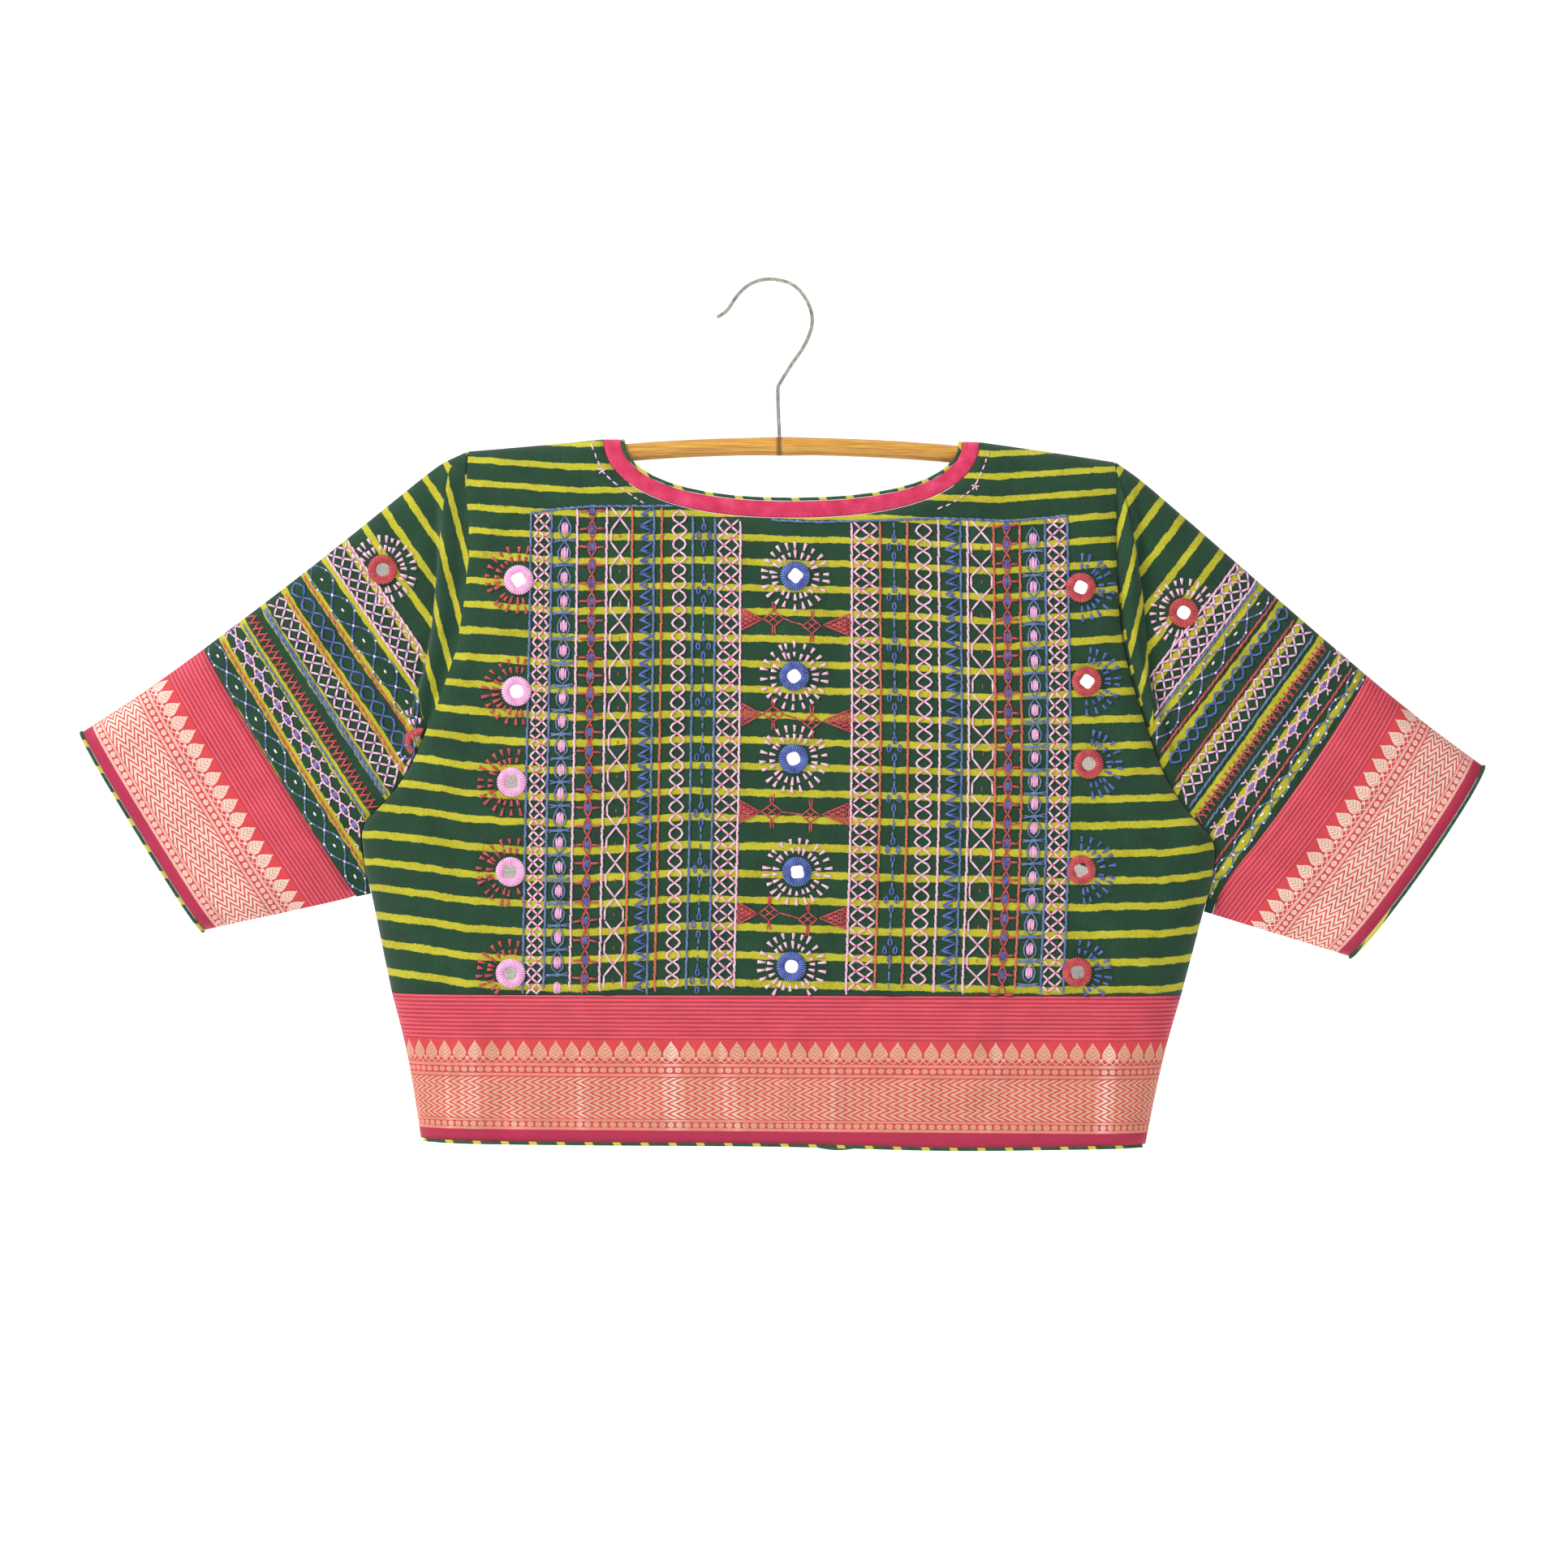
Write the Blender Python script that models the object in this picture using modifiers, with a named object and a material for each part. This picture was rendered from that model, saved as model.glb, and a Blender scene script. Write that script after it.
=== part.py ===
"""A choli blouse seen from its back, hung on a bamboo hanger with a wire hook.

Built at real size in metres, +Z up. The origin is the top inside of the hook, where a peg holds it.
The back faces -Y and the front opening faces +Y. Left and right are the wearer's.
"""

from collections import namedtuple
from math import asin, cos, exp, pi, radians, sin, sqrt

import bmesh
import bpy
from mathutils import Vector

# General sizes
MM = 0.001
WALL = 1.2  # thickness of the cloth, mm
SEAM = 0.3  # gap between pieces at a seam, mm
SHARP_ANGLE = 40  # edges that turn more than this stay sharp, degrees
CENTRE_X = 11.0  # the blouse's middle, to the right of the hook's top, mm
BACK = -1
FRONT = 1

# Shoulders and neck, mm
NECK_POINT_Z = -88.0
SHOULDER_TIP = 179.0
SHOULDER_FALL = 9.0
SHOULDER_ROLL = 16.0
BINDING_WIDTH = 9.2
NECK_HALF_WIDTH = 94.5
NECK_SQUARENESS = 2.3
BACK_NECK_DEPTH = 34.7
FRONT_NECK_DEPTH = 105.0

# Hem, waist border and underarm, mm
HEM_Z = -475.5
BORDER_WIDTH = 81.0
UNDERARM_Z = -344.0
SHOULDER_TIP_Z = NECK_POINT_Z - SHOULDER_FALL
WAIST_Z = HEM_Z + BORDER_WIDTH
FRONT_HEM_DROP = 0.5
PLACKET_WIDTH = 30.0
PLACKET_ROWS = 12
PLACKET_COLUMNS = 4
PLACKET_SAG = 7.5
PLACKET_SAG_X = 29.0
PLACKET_SAG_WIDTH = 17.0
HEM_SAG = 2.5
HEM_SAG_X = 95.0
HEM_SAG_WIDTH = 75.0
HEM_SAG_RISE = 110.0

# Sleeves, mm and degrees
SLEEVE_TOP = 264.0
CUFF_WIDTH = 129.0
CUFF_BOW = {-1: 1.0, 1: 3.0}
CUFF_SKEW = 4.5
CUFF_DEPTH = 8.0
CUFF_DEPTH_REACH = 0.77  # where a sleeve has taken the cuff's depth, as a share of its length
CUFF_END_ROLL = 0.17  # how much of the cuff's width each end takes to roll, as a share
TOP_FOLD_SPREAD = 6  # how fast the top fold's bulge dies away down the sleeve, as a power
DROOP = {-1: 36.0, 1: 39.5}
SLEEVE_STATIONS = (0.0, 5.0, 9.0, 12.0, 14.5, 18.0, 25.0, 37.0)
SLEEVE_STATIONS_LENGTH = 90.0
SLEEVE_SHARES = (0.22, 0.44, 0.64, 0.82, 1.0)
BORDER_SHARES = (0.0, 0.5, 1.0)
HEAD_BULGE = {-1: 1.0, 1: 0.4}
TIP_CLEARANCE = 0.5
LEAST_SEAM_SHARE = 0.06  # how near the border's seam comes to the armhole, as a share

# The soft fold that each sleeve head makes beside the armhole, mm
HEAD_FOLD_WIDTH = {-1: 14.5, 1: 11.5}
HEAD_FOLD_HEIGHT = {BACK: 5.0, FRONT: 3.0}
HEAD_FOLD_DROP = 3.0
HEAD_FOLD_DIP = 0.35
HEAD_FOLD_DIP_WIDTH = 14.0
HEAD_FOLD_CREST = 0.77  # where it is highest, as a share of its width
HEAD_FOLD_START = 0.14  # where it is full, where it ends and over what share of the seam it fades
HEAD_FOLD_END = 0.68
HEAD_FOLD_FADE = 0.15

# Piping, mm
PIPING_RADIUS = 0.8
PIPING_REACH = 1.2
HEM_PIPING_INSET = 2.5
HEM_PIPING_STEPS = 30
FINE_BEVEL = 1  # bevel resolution of the thin piping and wire

# Mirrors in their thread rings, mm
RING_RADIUS = 8.4
RING_HEIGHT = 1.9
GLASS_RADIUS = 3.5
GLASS_HEIGHT = 0.9
RING_UNDERCUT = 0.8
MIRROR_SIDES = 12
MIRROR_LIFT = 0.5

# Hanger, mm
BAR_RADIUS = 5.0
BAR_MIDDLE_Z = -91.2
BAR_FALL = {-1: 4.4, 1: 4.15}
BAR_FALL_AT = 95.0
BAR_HALF_LENGTH = 171.0
BAR_KNOT_SPACING = 112.0
BAR_KNOT_SWELL = 0.13
BAR_KNOT_WIDTH = 7.0
BAR_STEPS = 26
BAR_BEVEL = 3
WIRE_RADIUS = 0.95
STEM_X = 6.0
STEM_DEPTH = 8.0
STEM_CLEARANCE = 0.3
STEM_HOLE_SIDES = 16
STEM_HOLE_PROUD = 1.0  # the cutter's middle above the bar's top
STEM_FOOT = -0.6  # the stem's end, from the bar's axis
STEM_RISE = 3.0  # its straight length above the bar
HOOK_STEPS = 2  # sections between two named bends

# How far round a rolled edge each of its rows of points lies, degrees, and how many
# columns of points cross a shoulder and half of the cloth under each neckline
ROLL_TURNS = (0, 10, 30, 50, 70)
STRAP_COLUMNS = 4
BACK_NECK_COLUMNS = 7
FRONT_NECK_COLUMNS = 6

# Heights of the body's points at the armhole and side, from the shoulder's roll down,
# and those at which the neckline leaves the shoulder strap, mm
STRAIGHT_LEVELS = (-114, -134, -157, -182, -208, -233, -254)
CORNER_LEVELS = (-272, -284, -293, -300, -307, -317, -330, -340)
SIDE_LEVELS = (-344, -369)
BACK_NOTCH_LEVEL = -114
FRONT_NOTCH_LEVEL = -157
BORDER_ROWS = 3
FAN_POWER = 1.5  # how fast the columns fan out below the notch

# Body outline: half the width at each height, how deep the armhole seam lies there,
# and how far in from the edge the panel takes to roll to its full depth
Edge = namedtuple("Edge", "height half_width seam_depth roll")
OUTLINE = [
    Edge(-482, 200.0, 0.0, 38.0),
    Edge(-475, 201.0, 0.0, 38.0),
    Edge(-446, 206.0, 0.0, 38.0),
    Edge(-425, 210.0, 0.0, 38.0),
    Edge(-412, 214.5, 0.0, 38.0),
    Edge(-394, 219.0, 0.0, 38.0),
    Edge(-344, 230.5, 0.0, 38.0),
    Edge(-325, 235.0, 4.5, 28.0),
    Edge(-307, 236.0, 6.5, 20.0),
    Edge(-293, 223.0, 7.5, 15.0),
    Edge(-272, 208.0, 8.5, 14.0),
    Edge(-235, 194.0, 8.8, 14.0),
    Edge(-202, 184.0, 8.8, 14.0),
    Edge(-167, 180.0, 8.5, 14.0),
    Edge(-133, 179.5, 8.2, 14.0),
    Edge(-97, 179.0, 8.0, 14.0),
]

# How the blouse hangs: how far the right side drops (and the left lifts), how far the middle
# leans to the right, and how far back and front stand from the hanger's plane
Hang = namedtuple("Hang", "height side_drop lean back_depth front_depth")
HANG = [
    Hang(-482, 1.7, -3.0, 14.0, 15.0),
    Hang(-396, 0.6, -1.0, 15.0, 18.0),
    Hang(-344, 5.0, -0.5, 15.2, 21.0),
    Hang(-307, 4.4, 0.0, 15.5, 23.0),
    Hang(-230, 3.6, 0.6, 15.5, 21.0),
    Hang(-170, 3.2, 1.2, 14.5, 17.0),
    Hang(-130, 3.1, 1.6, 12.0, 12.5),
    Hang(-97, 3.0, 1.8, 9.5, 9.5),
]

# Soft folds of the back and front: middle, direction from level, size and height
Fold = namedtuple("Fold", "face x z turn length width height")
FOLDS = [
    Fold(BACK, 196, -318, 32, 52, 9, 2.2),
    Fold(BACK, 186, -346, 18, 46, 8, -1.3),
    Fold(BACK, -198, -322, -30, 48, 9, 1.8),
    Fold(BACK, -190, -352, -14, 46, 8, -1.1),
    Fold(BACK, 163, -210, 78, 60, 8, 1.4),
    Fold(BACK, -166, -204, -80, 56, 8, 1.3),
    Fold(BACK, -17, -438, 90, 42, 4, -0.7),
    Fold(BACK, 84, -430, 84, 60, 17, 1.3),
    Fold(BACK, 142, -436, 96, 52, 14, -1.1),
    Fold(BACK, -112, -432, 88, 55, 18, 1.2),
    Fold(BACK, 38, -205, 90, 70, 22, -1.2),
    Fold(FRONT, 108, -300, 62, 60, 10, -2.2),
    Fold(FRONT, -108, -300, -62, 60, 10, -2.2),
    Fold(FRONT, 118, -420, 90, 60, 5, -2.6),
    Fold(FRONT, -118, -420, 90, 60, 5, -2.6),
    Fold(FRONT, 190, -296, 8, 44, 5, -2.0),
    Fold(FRONT, -190, -296, -8, 44, 5, -2.0),
    Fold(FRONT, 150, -215, 70, 60, 12, 1.8),
    Fold(FRONT, -150, -215, -70, 60, 12, 1.8),
]

# The top fold of a sleeve, off its straight line, by the share of its length
Bulge = namedtuple("Bulge", "share out")
TOP_FOLD = [
    Bulge(0.0, 0.0),
    Bulge(0.07, 3.0),
    Bulge(0.2, 1.6),
    Bulge(0.35, -0.4),
    Bulge(0.6, -2.0),
    Bulge(0.82, -2.6),
    Bulge(1.0, 0.0),
]

# Mirrors of the back in three columns, on the sleeves' back and on their hidden side
Mirror = namedtuple("Mirror", "name ring x z")
BACK_MIRRORS = [
    Mirror("mirror_left_1", "pink_thread", -149.4, -168.2),
    Mirror("mirror_left_2", "pink_thread", -149.9, -229.3),
    Mirror("mirror_left_3", "pink_thread", -152.1, -279.1),
    Mirror("mirror_left_4", "pink_thread", -152.3, -328.2),
    Mirror("mirror_left_5", "pink_thread", -151.7, -382.8),
    Mirror("mirror_middle_1", "blue_thread", 2.5, -164.0),
    Mirror("mirror_middle_2", "blue_thread", 2.5, -219.0),
    Mirror("mirror_middle_3", "blue_thread", 2.5, -264.5),
    Mirror("mirror_middle_4", "blue_thread", 5.0, -326.5),
    Mirror("mirror_middle_5", "blue_thread", 2.5, -378.5),
    Mirror("mirror_right_1", "red_thread", 159.5, -168.0),
    Mirror("mirror_right_2", "red_thread", 163.0, -219.5),
    Mirror("mirror_right_3", "red_thread", 164.5, -265.0),
    Mirror("mirror_right_4", "red_thread", 161.0, -323.5),
    Mirror("mirror_right_5", "red_thread", 159.5, -381.0),
]
SEARCH_STEPS = 25
SleeveMirror = namedtuple("SleeveMirror", "name side face along across")
SLEEVE_MIRRORS = [
    SleeveMirror("mirror_sleeve_left_1", -1, BACK, 76.5, 26.0),
    SleeveMirror("mirror_sleeve_left_2", -1, FRONT, 84.0, 40.0),
    SleeveMirror("mirror_sleeve_right_1", 1, BACK, 82.0, 41.0),
    SleeveMirror("mirror_sleeve_right_2", 1, FRONT, 84.0, 40.0),
]

# The wire hook's bends, from the foot of its stem to its tip
Bend = namedtuple("Bend", "x z")
HOOK = [
    Bend(5.6, -76.0),
    Bend(5.2, -60.0),
    Bend(6.6, -55.8),
    Bend(13.0, -45.4),
    Bend(18.7, -37.3),
    Bend(22.6, -29.4),
    Bend(24.3, -22.0),
    Bend(23.2, -14.6),
    Bend(19.5, -7.4),
    Bend(14.5, -2.2),
    Bend(8.2, 0.6),
    Bend(0.0, 1.6),
    Bend(-6.2, 0.5),
    Bend(-11.8, -2.3),
    Bend(-15.8, -5.9),
    Bend(-19.0, -9.9),
    Bend(-21.5, -13.9),
    Bend(-24.1, -16.9),
    Bend(-28.4, -19.5),
]

# Colours of the materials, with roughness and metallic value
FINISHES = {
    "striped_cotton": ((0.045, 0.125, 0.062, 1.0), 0.85, 0.0),
    "zari_border": ((0.72, 0.10, 0.12, 1.0), 0.6, 0.0),
    "binding": ((0.72, 0.075, 0.17, 1.0), 0.75, 0.0),
    "pink_thread": ((0.80, 0.38, 0.62, 1.0), 0.6, 0.0),
    "blue_thread": ((0.08, 0.11, 0.40, 1.0), 0.6, 0.0),
    "red_thread": ((0.60, 0.03, 0.05, 1.0), 0.6, 0.0),
    "bamboo": ((0.74, 0.42, 0.09, 1.0), 0.4, 0.0),
    "wire": ((0.42, 0.40, 0.37, 1.0), 0.35, 1.0),
}


def clear_scene():
    for thing in list(bpy.data.objects):
        bpy.data.objects.remove(thing)


def new_collection(name):
    collection = bpy.data.collections.new(name)
    bpy.context.scene.collection.children.link(collection)
    return collection


def material(name):
    found = bpy.data.materials.get(name)
    if found:
        return found
    colour, roughness, metallic = FINISHES[name]
    made = bpy.data.materials.new(name)
    made.use_nodes = True
    shader = made.node_tree.nodes["Principled BSDF"]
    shader.inputs["Base Color"].default_value = colour
    shader.inputs["Roughness"].default_value = roughness
    shader.inputs["Metallic"].default_value = metallic
    return made


def read_table(rows, at, column):
    """A column of a table whose first column rises, on a smooth curve with no overshoot."""
    keys = [row[0] for row in rows]
    values = [getattr(row, column) for row in rows]
    at = min(max(at, keys[0]), keys[-1])
    k = max(i for i in range(len(keys) - 1) if keys[i] <= at)
    slopes = [(values[i + 1] - values[i]) / (keys[i + 1] - keys[i]) for i in range(len(keys) - 1)]

    def tangent(i):
        before = slopes[max(i - 1, 0)]
        after = slopes[min(i, len(slopes) - 1)]
        return 0.0 if before * after <= 0 else 2 * before * after / (before + after)

    span = keys[k + 1] - keys[k]
    t = (at - keys[k]) / span
    return (
        values[k] * (1 + 2 * t) * (1 - t) ** 2
        + tangent(k) * span * t * (1 - t) ** 2
        + values[k + 1] * t * t * (3 - 2 * t)
        - tangent(k + 1) * span * t * t * (1 - t)
    )


def rounded(share):
    """A quarter of an ellipse: 0 at an edge, 1 once the roll is complete."""
    share = min(max(share, 0.0), 1.0)
    return sqrt(share * (2 - share))


def smooth_step(share):
    share = min(max(share, 0.0), 1.0)
    return share * share * (3 - 2 * share)


def mix(a, b, share):
    return a + (b - a) * share


def roll_steps():
    """Shares of a roll, close together at its edge, where it turns most."""
    return [1 - cos(radians(turn)) for turn in ROLL_TURNS]


# The body's surface

def shoulder_z(x):
    beyond = max(abs(x) - NECK_HALF_WIDTH - BINDING_WIDTH, 0.0)
    return NECK_POINT_Z - SHOULDER_FALL * beyond / (SHOULDER_TIP - NECK_HALF_WIDTH - BINDING_WIDTH)


def half_width(z):
    return read_table(OUTLINE, z, "half_width")


def fold_relief(face, x, z):
    total = 0.0
    for fold in FOLDS:
        if fold.face != face:
            continue
        turn = radians(fold.turn)
        along = (x - fold.x) * cos(turn) + (z - fold.z) * sin(turn)
        over = (z - fold.z) * cos(turn) - (x - fold.x) * sin(turn)
        total += fold.height * exp(-((2 * along / fold.length) ** 2) - (over / fold.width) ** 2)
    return total


def body_depth(face, x, z):
    """How far the outer surface stands from the hanger's plane, mm."""
    inset = max(half_width(z) - abs(x), 0.0)
    seam = read_table(OUTLINE, z, "seam_depth")
    full = read_table(HANG, z, "back_depth" if face == BACK else "front_depth")
    share = rounded(inset / read_table(OUTLINE, z, "roll"))
    top = rounded((shoulder_z(x) - z) / SHOULDER_ROLL)
    return (mix(seam, full, share) + fold_relief(face, x, z) * share) * top


def hang(x, y, z):
    """A point of the evenly cut blouse, where it really hangs."""
    across = x / half_width(z)
    lean = read_table(HANG, z, "lean")
    drop = read_table(HANG, z, "side_drop") * across * abs(across) ** 1.5
    low = smooth_step((HEM_Z + HEM_SAG_RISE - z) / HEM_SAG_RISE)
    drop += HEM_SAG * low * exp(-(((x - HEM_SAG_X) / HEM_SAG_WIDTH) ** 2))
    return Vector((x + CENTRE_X + lean, y, z - drop))


def body_point(face, x, z, out=0.0):
    return hang(x, face * (SEAM + body_depth(face, x, z) + out), z)


def body_normal(face, x, z):
    step = 2.0
    across = body_point(face, x + step, z) - body_point(face, x - step, z)
    up = body_point(face, x, z + step) - body_point(face, x, z - step)
    return (across.cross(up) * -face).normalized()


def neck_depth(face):
    return BACK_NECK_DEPTH if face == BACK else FRONT_NECK_DEPTH


def panel_bottom(face):
    return WAIST_Z if face == BACK else HEM_Z


def height_under(face, top, level):
    """The height of a row, whose height is level at the side edge, in a column with that top."""
    bottom = panel_bottom(face)
    return mix(bottom, top, (level - bottom) / (SHOULDER_TIP_Z - bottom))


def neck_x(face, z, width):
    """Half the neck opening at a height, with the binding's width or part of it added, mm."""
    share = (NECK_POINT_Z - z) / (neck_depth(face) + width)
    return (NECK_HALF_WIDTH + width) * (1 - min(share, 1.0) ** NECK_SQUARENESS) ** (1 / NECK_SQUARENESS)


def neckline(face, width):
    """Points along half of the neckline, from the shoulder to the middle: down its strap in
    the panel's own rows, then round its bottom in the panel's columns, mm."""
    depth = neck_depth(face) + width
    notch = BACK_NOTCH_LEVEL if face == BACK else FRONT_NOTCH_LEVEL
    columns = BACK_NECK_COLUMNS if face == BACK else FRONT_NECK_COLUMNS
    levels = [level for level in body_levels() if level >= notch]
    heights = [height_under(face, NECK_POINT_Z, level) for level in levels]
    line = [(neck_x(face, z, width), z) for z in heights]
    power = 2 / NECK_SQUARENESS
    start = asin(((NECK_POINT_Z - heights[-1]) / depth) ** (1 / power))
    for k in range(1, columns + 1):
        turn = mix(start, pi / 2, k / columns)
        x = (NECK_HALF_WIDTH + width) * max(cos(turn), 0.0) ** power
        line.append((x, NECK_POINT_Z - depth * sin(turn) ** power))
    return line


def whole_neckline(face, width):
    """The neckline from the left shoulder to the right one."""
    half = neckline(face, width)
    return [(-x, z) for x, z in half] + half[-2::-1]


# The sleeves' surface

class Sleeve:
    """One sleeve: side is -1 for the left and 1 for the right."""

    def __init__(self, side):
        self.side = side
        droop = radians(DROOP[side])
        skew = radians(CUFF_SKEW)
        self.tip = hang(side * SHOULDER_TIP, 0, SHOULDER_TIP_Z)
        self.along = Vector((side * cos(droop), 0, -sin(droop)))
        self.across = Vector((-side * sin(droop), 0, -cos(droop)))
        self.cuff_line = self.across * cos(skew) + self.along * sin(skew)
        self.cuff_out = self.along * cos(skew) - self.across * sin(skew)
        self.cuff_top = self.tip + self.along * SLEEVE_TOP

    def armhole(self, share):
        """A point of the armhole seam: share runs from the shoulder to the underarm."""
        z = mix(SHOULDER_TIP_Z, UNDERARM_Z, share)
        x = self.side * half_width(z)
        turned = rounded((SHOULDER_TIP_Z - z) / SHOULDER_ROLL)
        gap = SEAM + TIP_CLEARANCE * (1 - turned)
        seam = hang(x, 0, z) + Vector((self.side * gap, 0, 0))
        return seam, read_table(OUTLINE, z, "seam_depth") * turned

    def cuff(self, share):
        bow = CUFF_BOW[self.side] * 4 * share * (1 - share)
        point = self.cuff_top + self.cuff_line * (CUFF_WIDTH * share) + self.cuff_out * bow
        ends = rounded(share / CUFF_END_ROLL) * rounded((1 - share) / CUFF_END_ROLL)
        return point, CUFF_DEPTH * ends

    def border_share(self, share):
        """How far along its rule the border's seam lies."""
        start = self.armhole(share)[0]
        end = self.cuff(share)[0]
        return max(1 - BORDER_WIDTH / (end - start).dot(self.cuff_out), LEAST_SEAM_SHARE)

    def point(self, face, share, reach):
        """share runs from the top fold (0) to the underarm fold (1), reach from armhole to cuff."""
        start, start_depth = self.armhole(share)
        end, end_depth = self.cuff(share)
        depth = mix(start_depth, end_depth, smooth_step(reach / CUFF_DEPTH_REACH))
        place = start.lerp(end, reach)
        off_line = read_table(TOP_FOLD, reach, "out")
        if off_line > 0:
            off_line *= HEAD_BULGE[self.side]
        place -= self.across * off_line * (1 - share) ** TOP_FOLD_SPREAD
        depth += self.head_fold(face, share, (end - start).length * reach)
        return Vector((place.x, face * depth, place.z))

    def head_fold(self, face, share, distance):
        """How far the soft fold beside the armhole stands out: it rises from the seam, drops
        steeply at its outer edge and leaves a shallow dip beyond."""
        edge = HEAD_FOLD_WIDTH[self.side]
        shown = smooth_step(share / HEAD_FOLD_START) * smooth_step((HEAD_FOLD_END - share) / HEAD_FOLD_FADE)
        ridge = smooth_step(distance / HEAD_FOLD_CREST / edge)
        ridge *= 1 - smooth_step((distance - edge) / HEAD_FOLD_DROP)
        beyond = (distance - edge - HEAD_FOLD_DROP) / HEAD_FOLD_DIP_WIDTH
        dip = HEAD_FOLD_DIP * exp(-beyond * beyond)
        return shown * HEAD_FOLD_HEIGHT[face] * (ridge - dip * smooth_step(distance / edge))


# Building

def finish_object(thing, finish):
    thing.data.materials.clear()
    thing.data.materials.append(material(finish))
    thing.data.shade_smooth()
    thing.data.set_sharp_from_angle(angle=radians(SHARP_ANGLE))
    return thing


def cloth_sheet(collection, name, finish, columns, rows, place, closed=False):
    """A grid laid on place(column, row), given its thickness inwards by Solidify. Where place
    gives None there is no cloth."""
    sheet = bmesh.new()
    bmesh.ops.create_grid(sheet, x_segments=columns - 1, y_segments=rows - 1, size=1.0)
    left_out = []
    for vertex in sheet.verts:
        column = round((vertex.co.x + 1) / 2 * (columns - 1))
        row = round((vertex.co.y + 1) / 2 * (rows - 1))
        point = place(column, row)
        if point is None:
            left_out.append(vertex)
        else:
            vertex.co = point * MM
    bmesh.ops.delete(sheet, geom=left_out, context="VERTS")
    if closed:
        bmesh.ops.remove_doubles(sheet, verts=sheet.verts, dist=0.01 * MM)
    mesh = bpy.data.meshes.new(name)
    sheet.to_mesh(mesh)
    sheet.free()
    thing = bpy.data.objects.new(name, mesh)
    collection.objects.link(thing)
    wall = thing.modifiers.new("wall", "SOLIDIFY")
    wall.thickness = WALL * MM
    wall.offset = -1.0
    return finish_object(thing, finish)


def tube(collection, name, finish, points, radius, closed, bevel, swell=None):
    curve = bpy.data.curves.new(name, "CURVE")
    curve.dimensions = "3D"
    curve.bevel_depth = radius * MM
    curve.bevel_resolution = bevel
    curve.use_fill_caps = not closed
    line = curve.splines.new("POLY")
    line.points.add(len(points) - 1)
    for k, point in enumerate(points):
        line.points[k].co = (*(point * MM), 1.0)
        line.points[k].radius = swell[k] if swell else 1.0
    line.use_cyclic_u = closed
    curve.materials.append(material(finish))
    thing = bpy.data.objects.new(name, curve)
    collection.objects.link(thing)
    return thing


def as_mesh(collection, thing):
    """The curve's evaluated tube as a closed mesh, in place of the curve."""
    name = thing.name
    finish = thing.data.materials[0].name
    view = bpy.context.evaluated_depsgraph_get()
    mesh = bpy.data.meshes.new_from_object(thing.evaluated_get(view))
    welded = bmesh.new()
    welded.from_mesh(mesh)
    bmesh.ops.remove_doubles(welded, verts=welded.verts, dist=0.001 * MM)
    welded.to_mesh(mesh)
    welded.free()
    bpy.data.objects.remove(thing)
    solid = bpy.data.objects.new(name, mesh)
    collection.objects.link(solid)
    return finish_object(solid, finish)


def body_levels():
    """Heights of the body's rows at its side edge, from the shoulder down to the waist seam."""
    rolled = [SHOULDER_TIP_Z - SHOULDER_ROLL * share for share in roll_steps()]
    return [*rolled, *STRAIGHT_LEVELS, *CORNER_LEVELS, *SIDE_LEVELS, WAIST_Z]


def border_levels():
    """Heights of the rows below the waist seam, from the hem up."""
    return [mix(HEM_Z, WAIST_Z, k / BORDER_ROWS) for k in range(BORDER_ROWS)]


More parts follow.
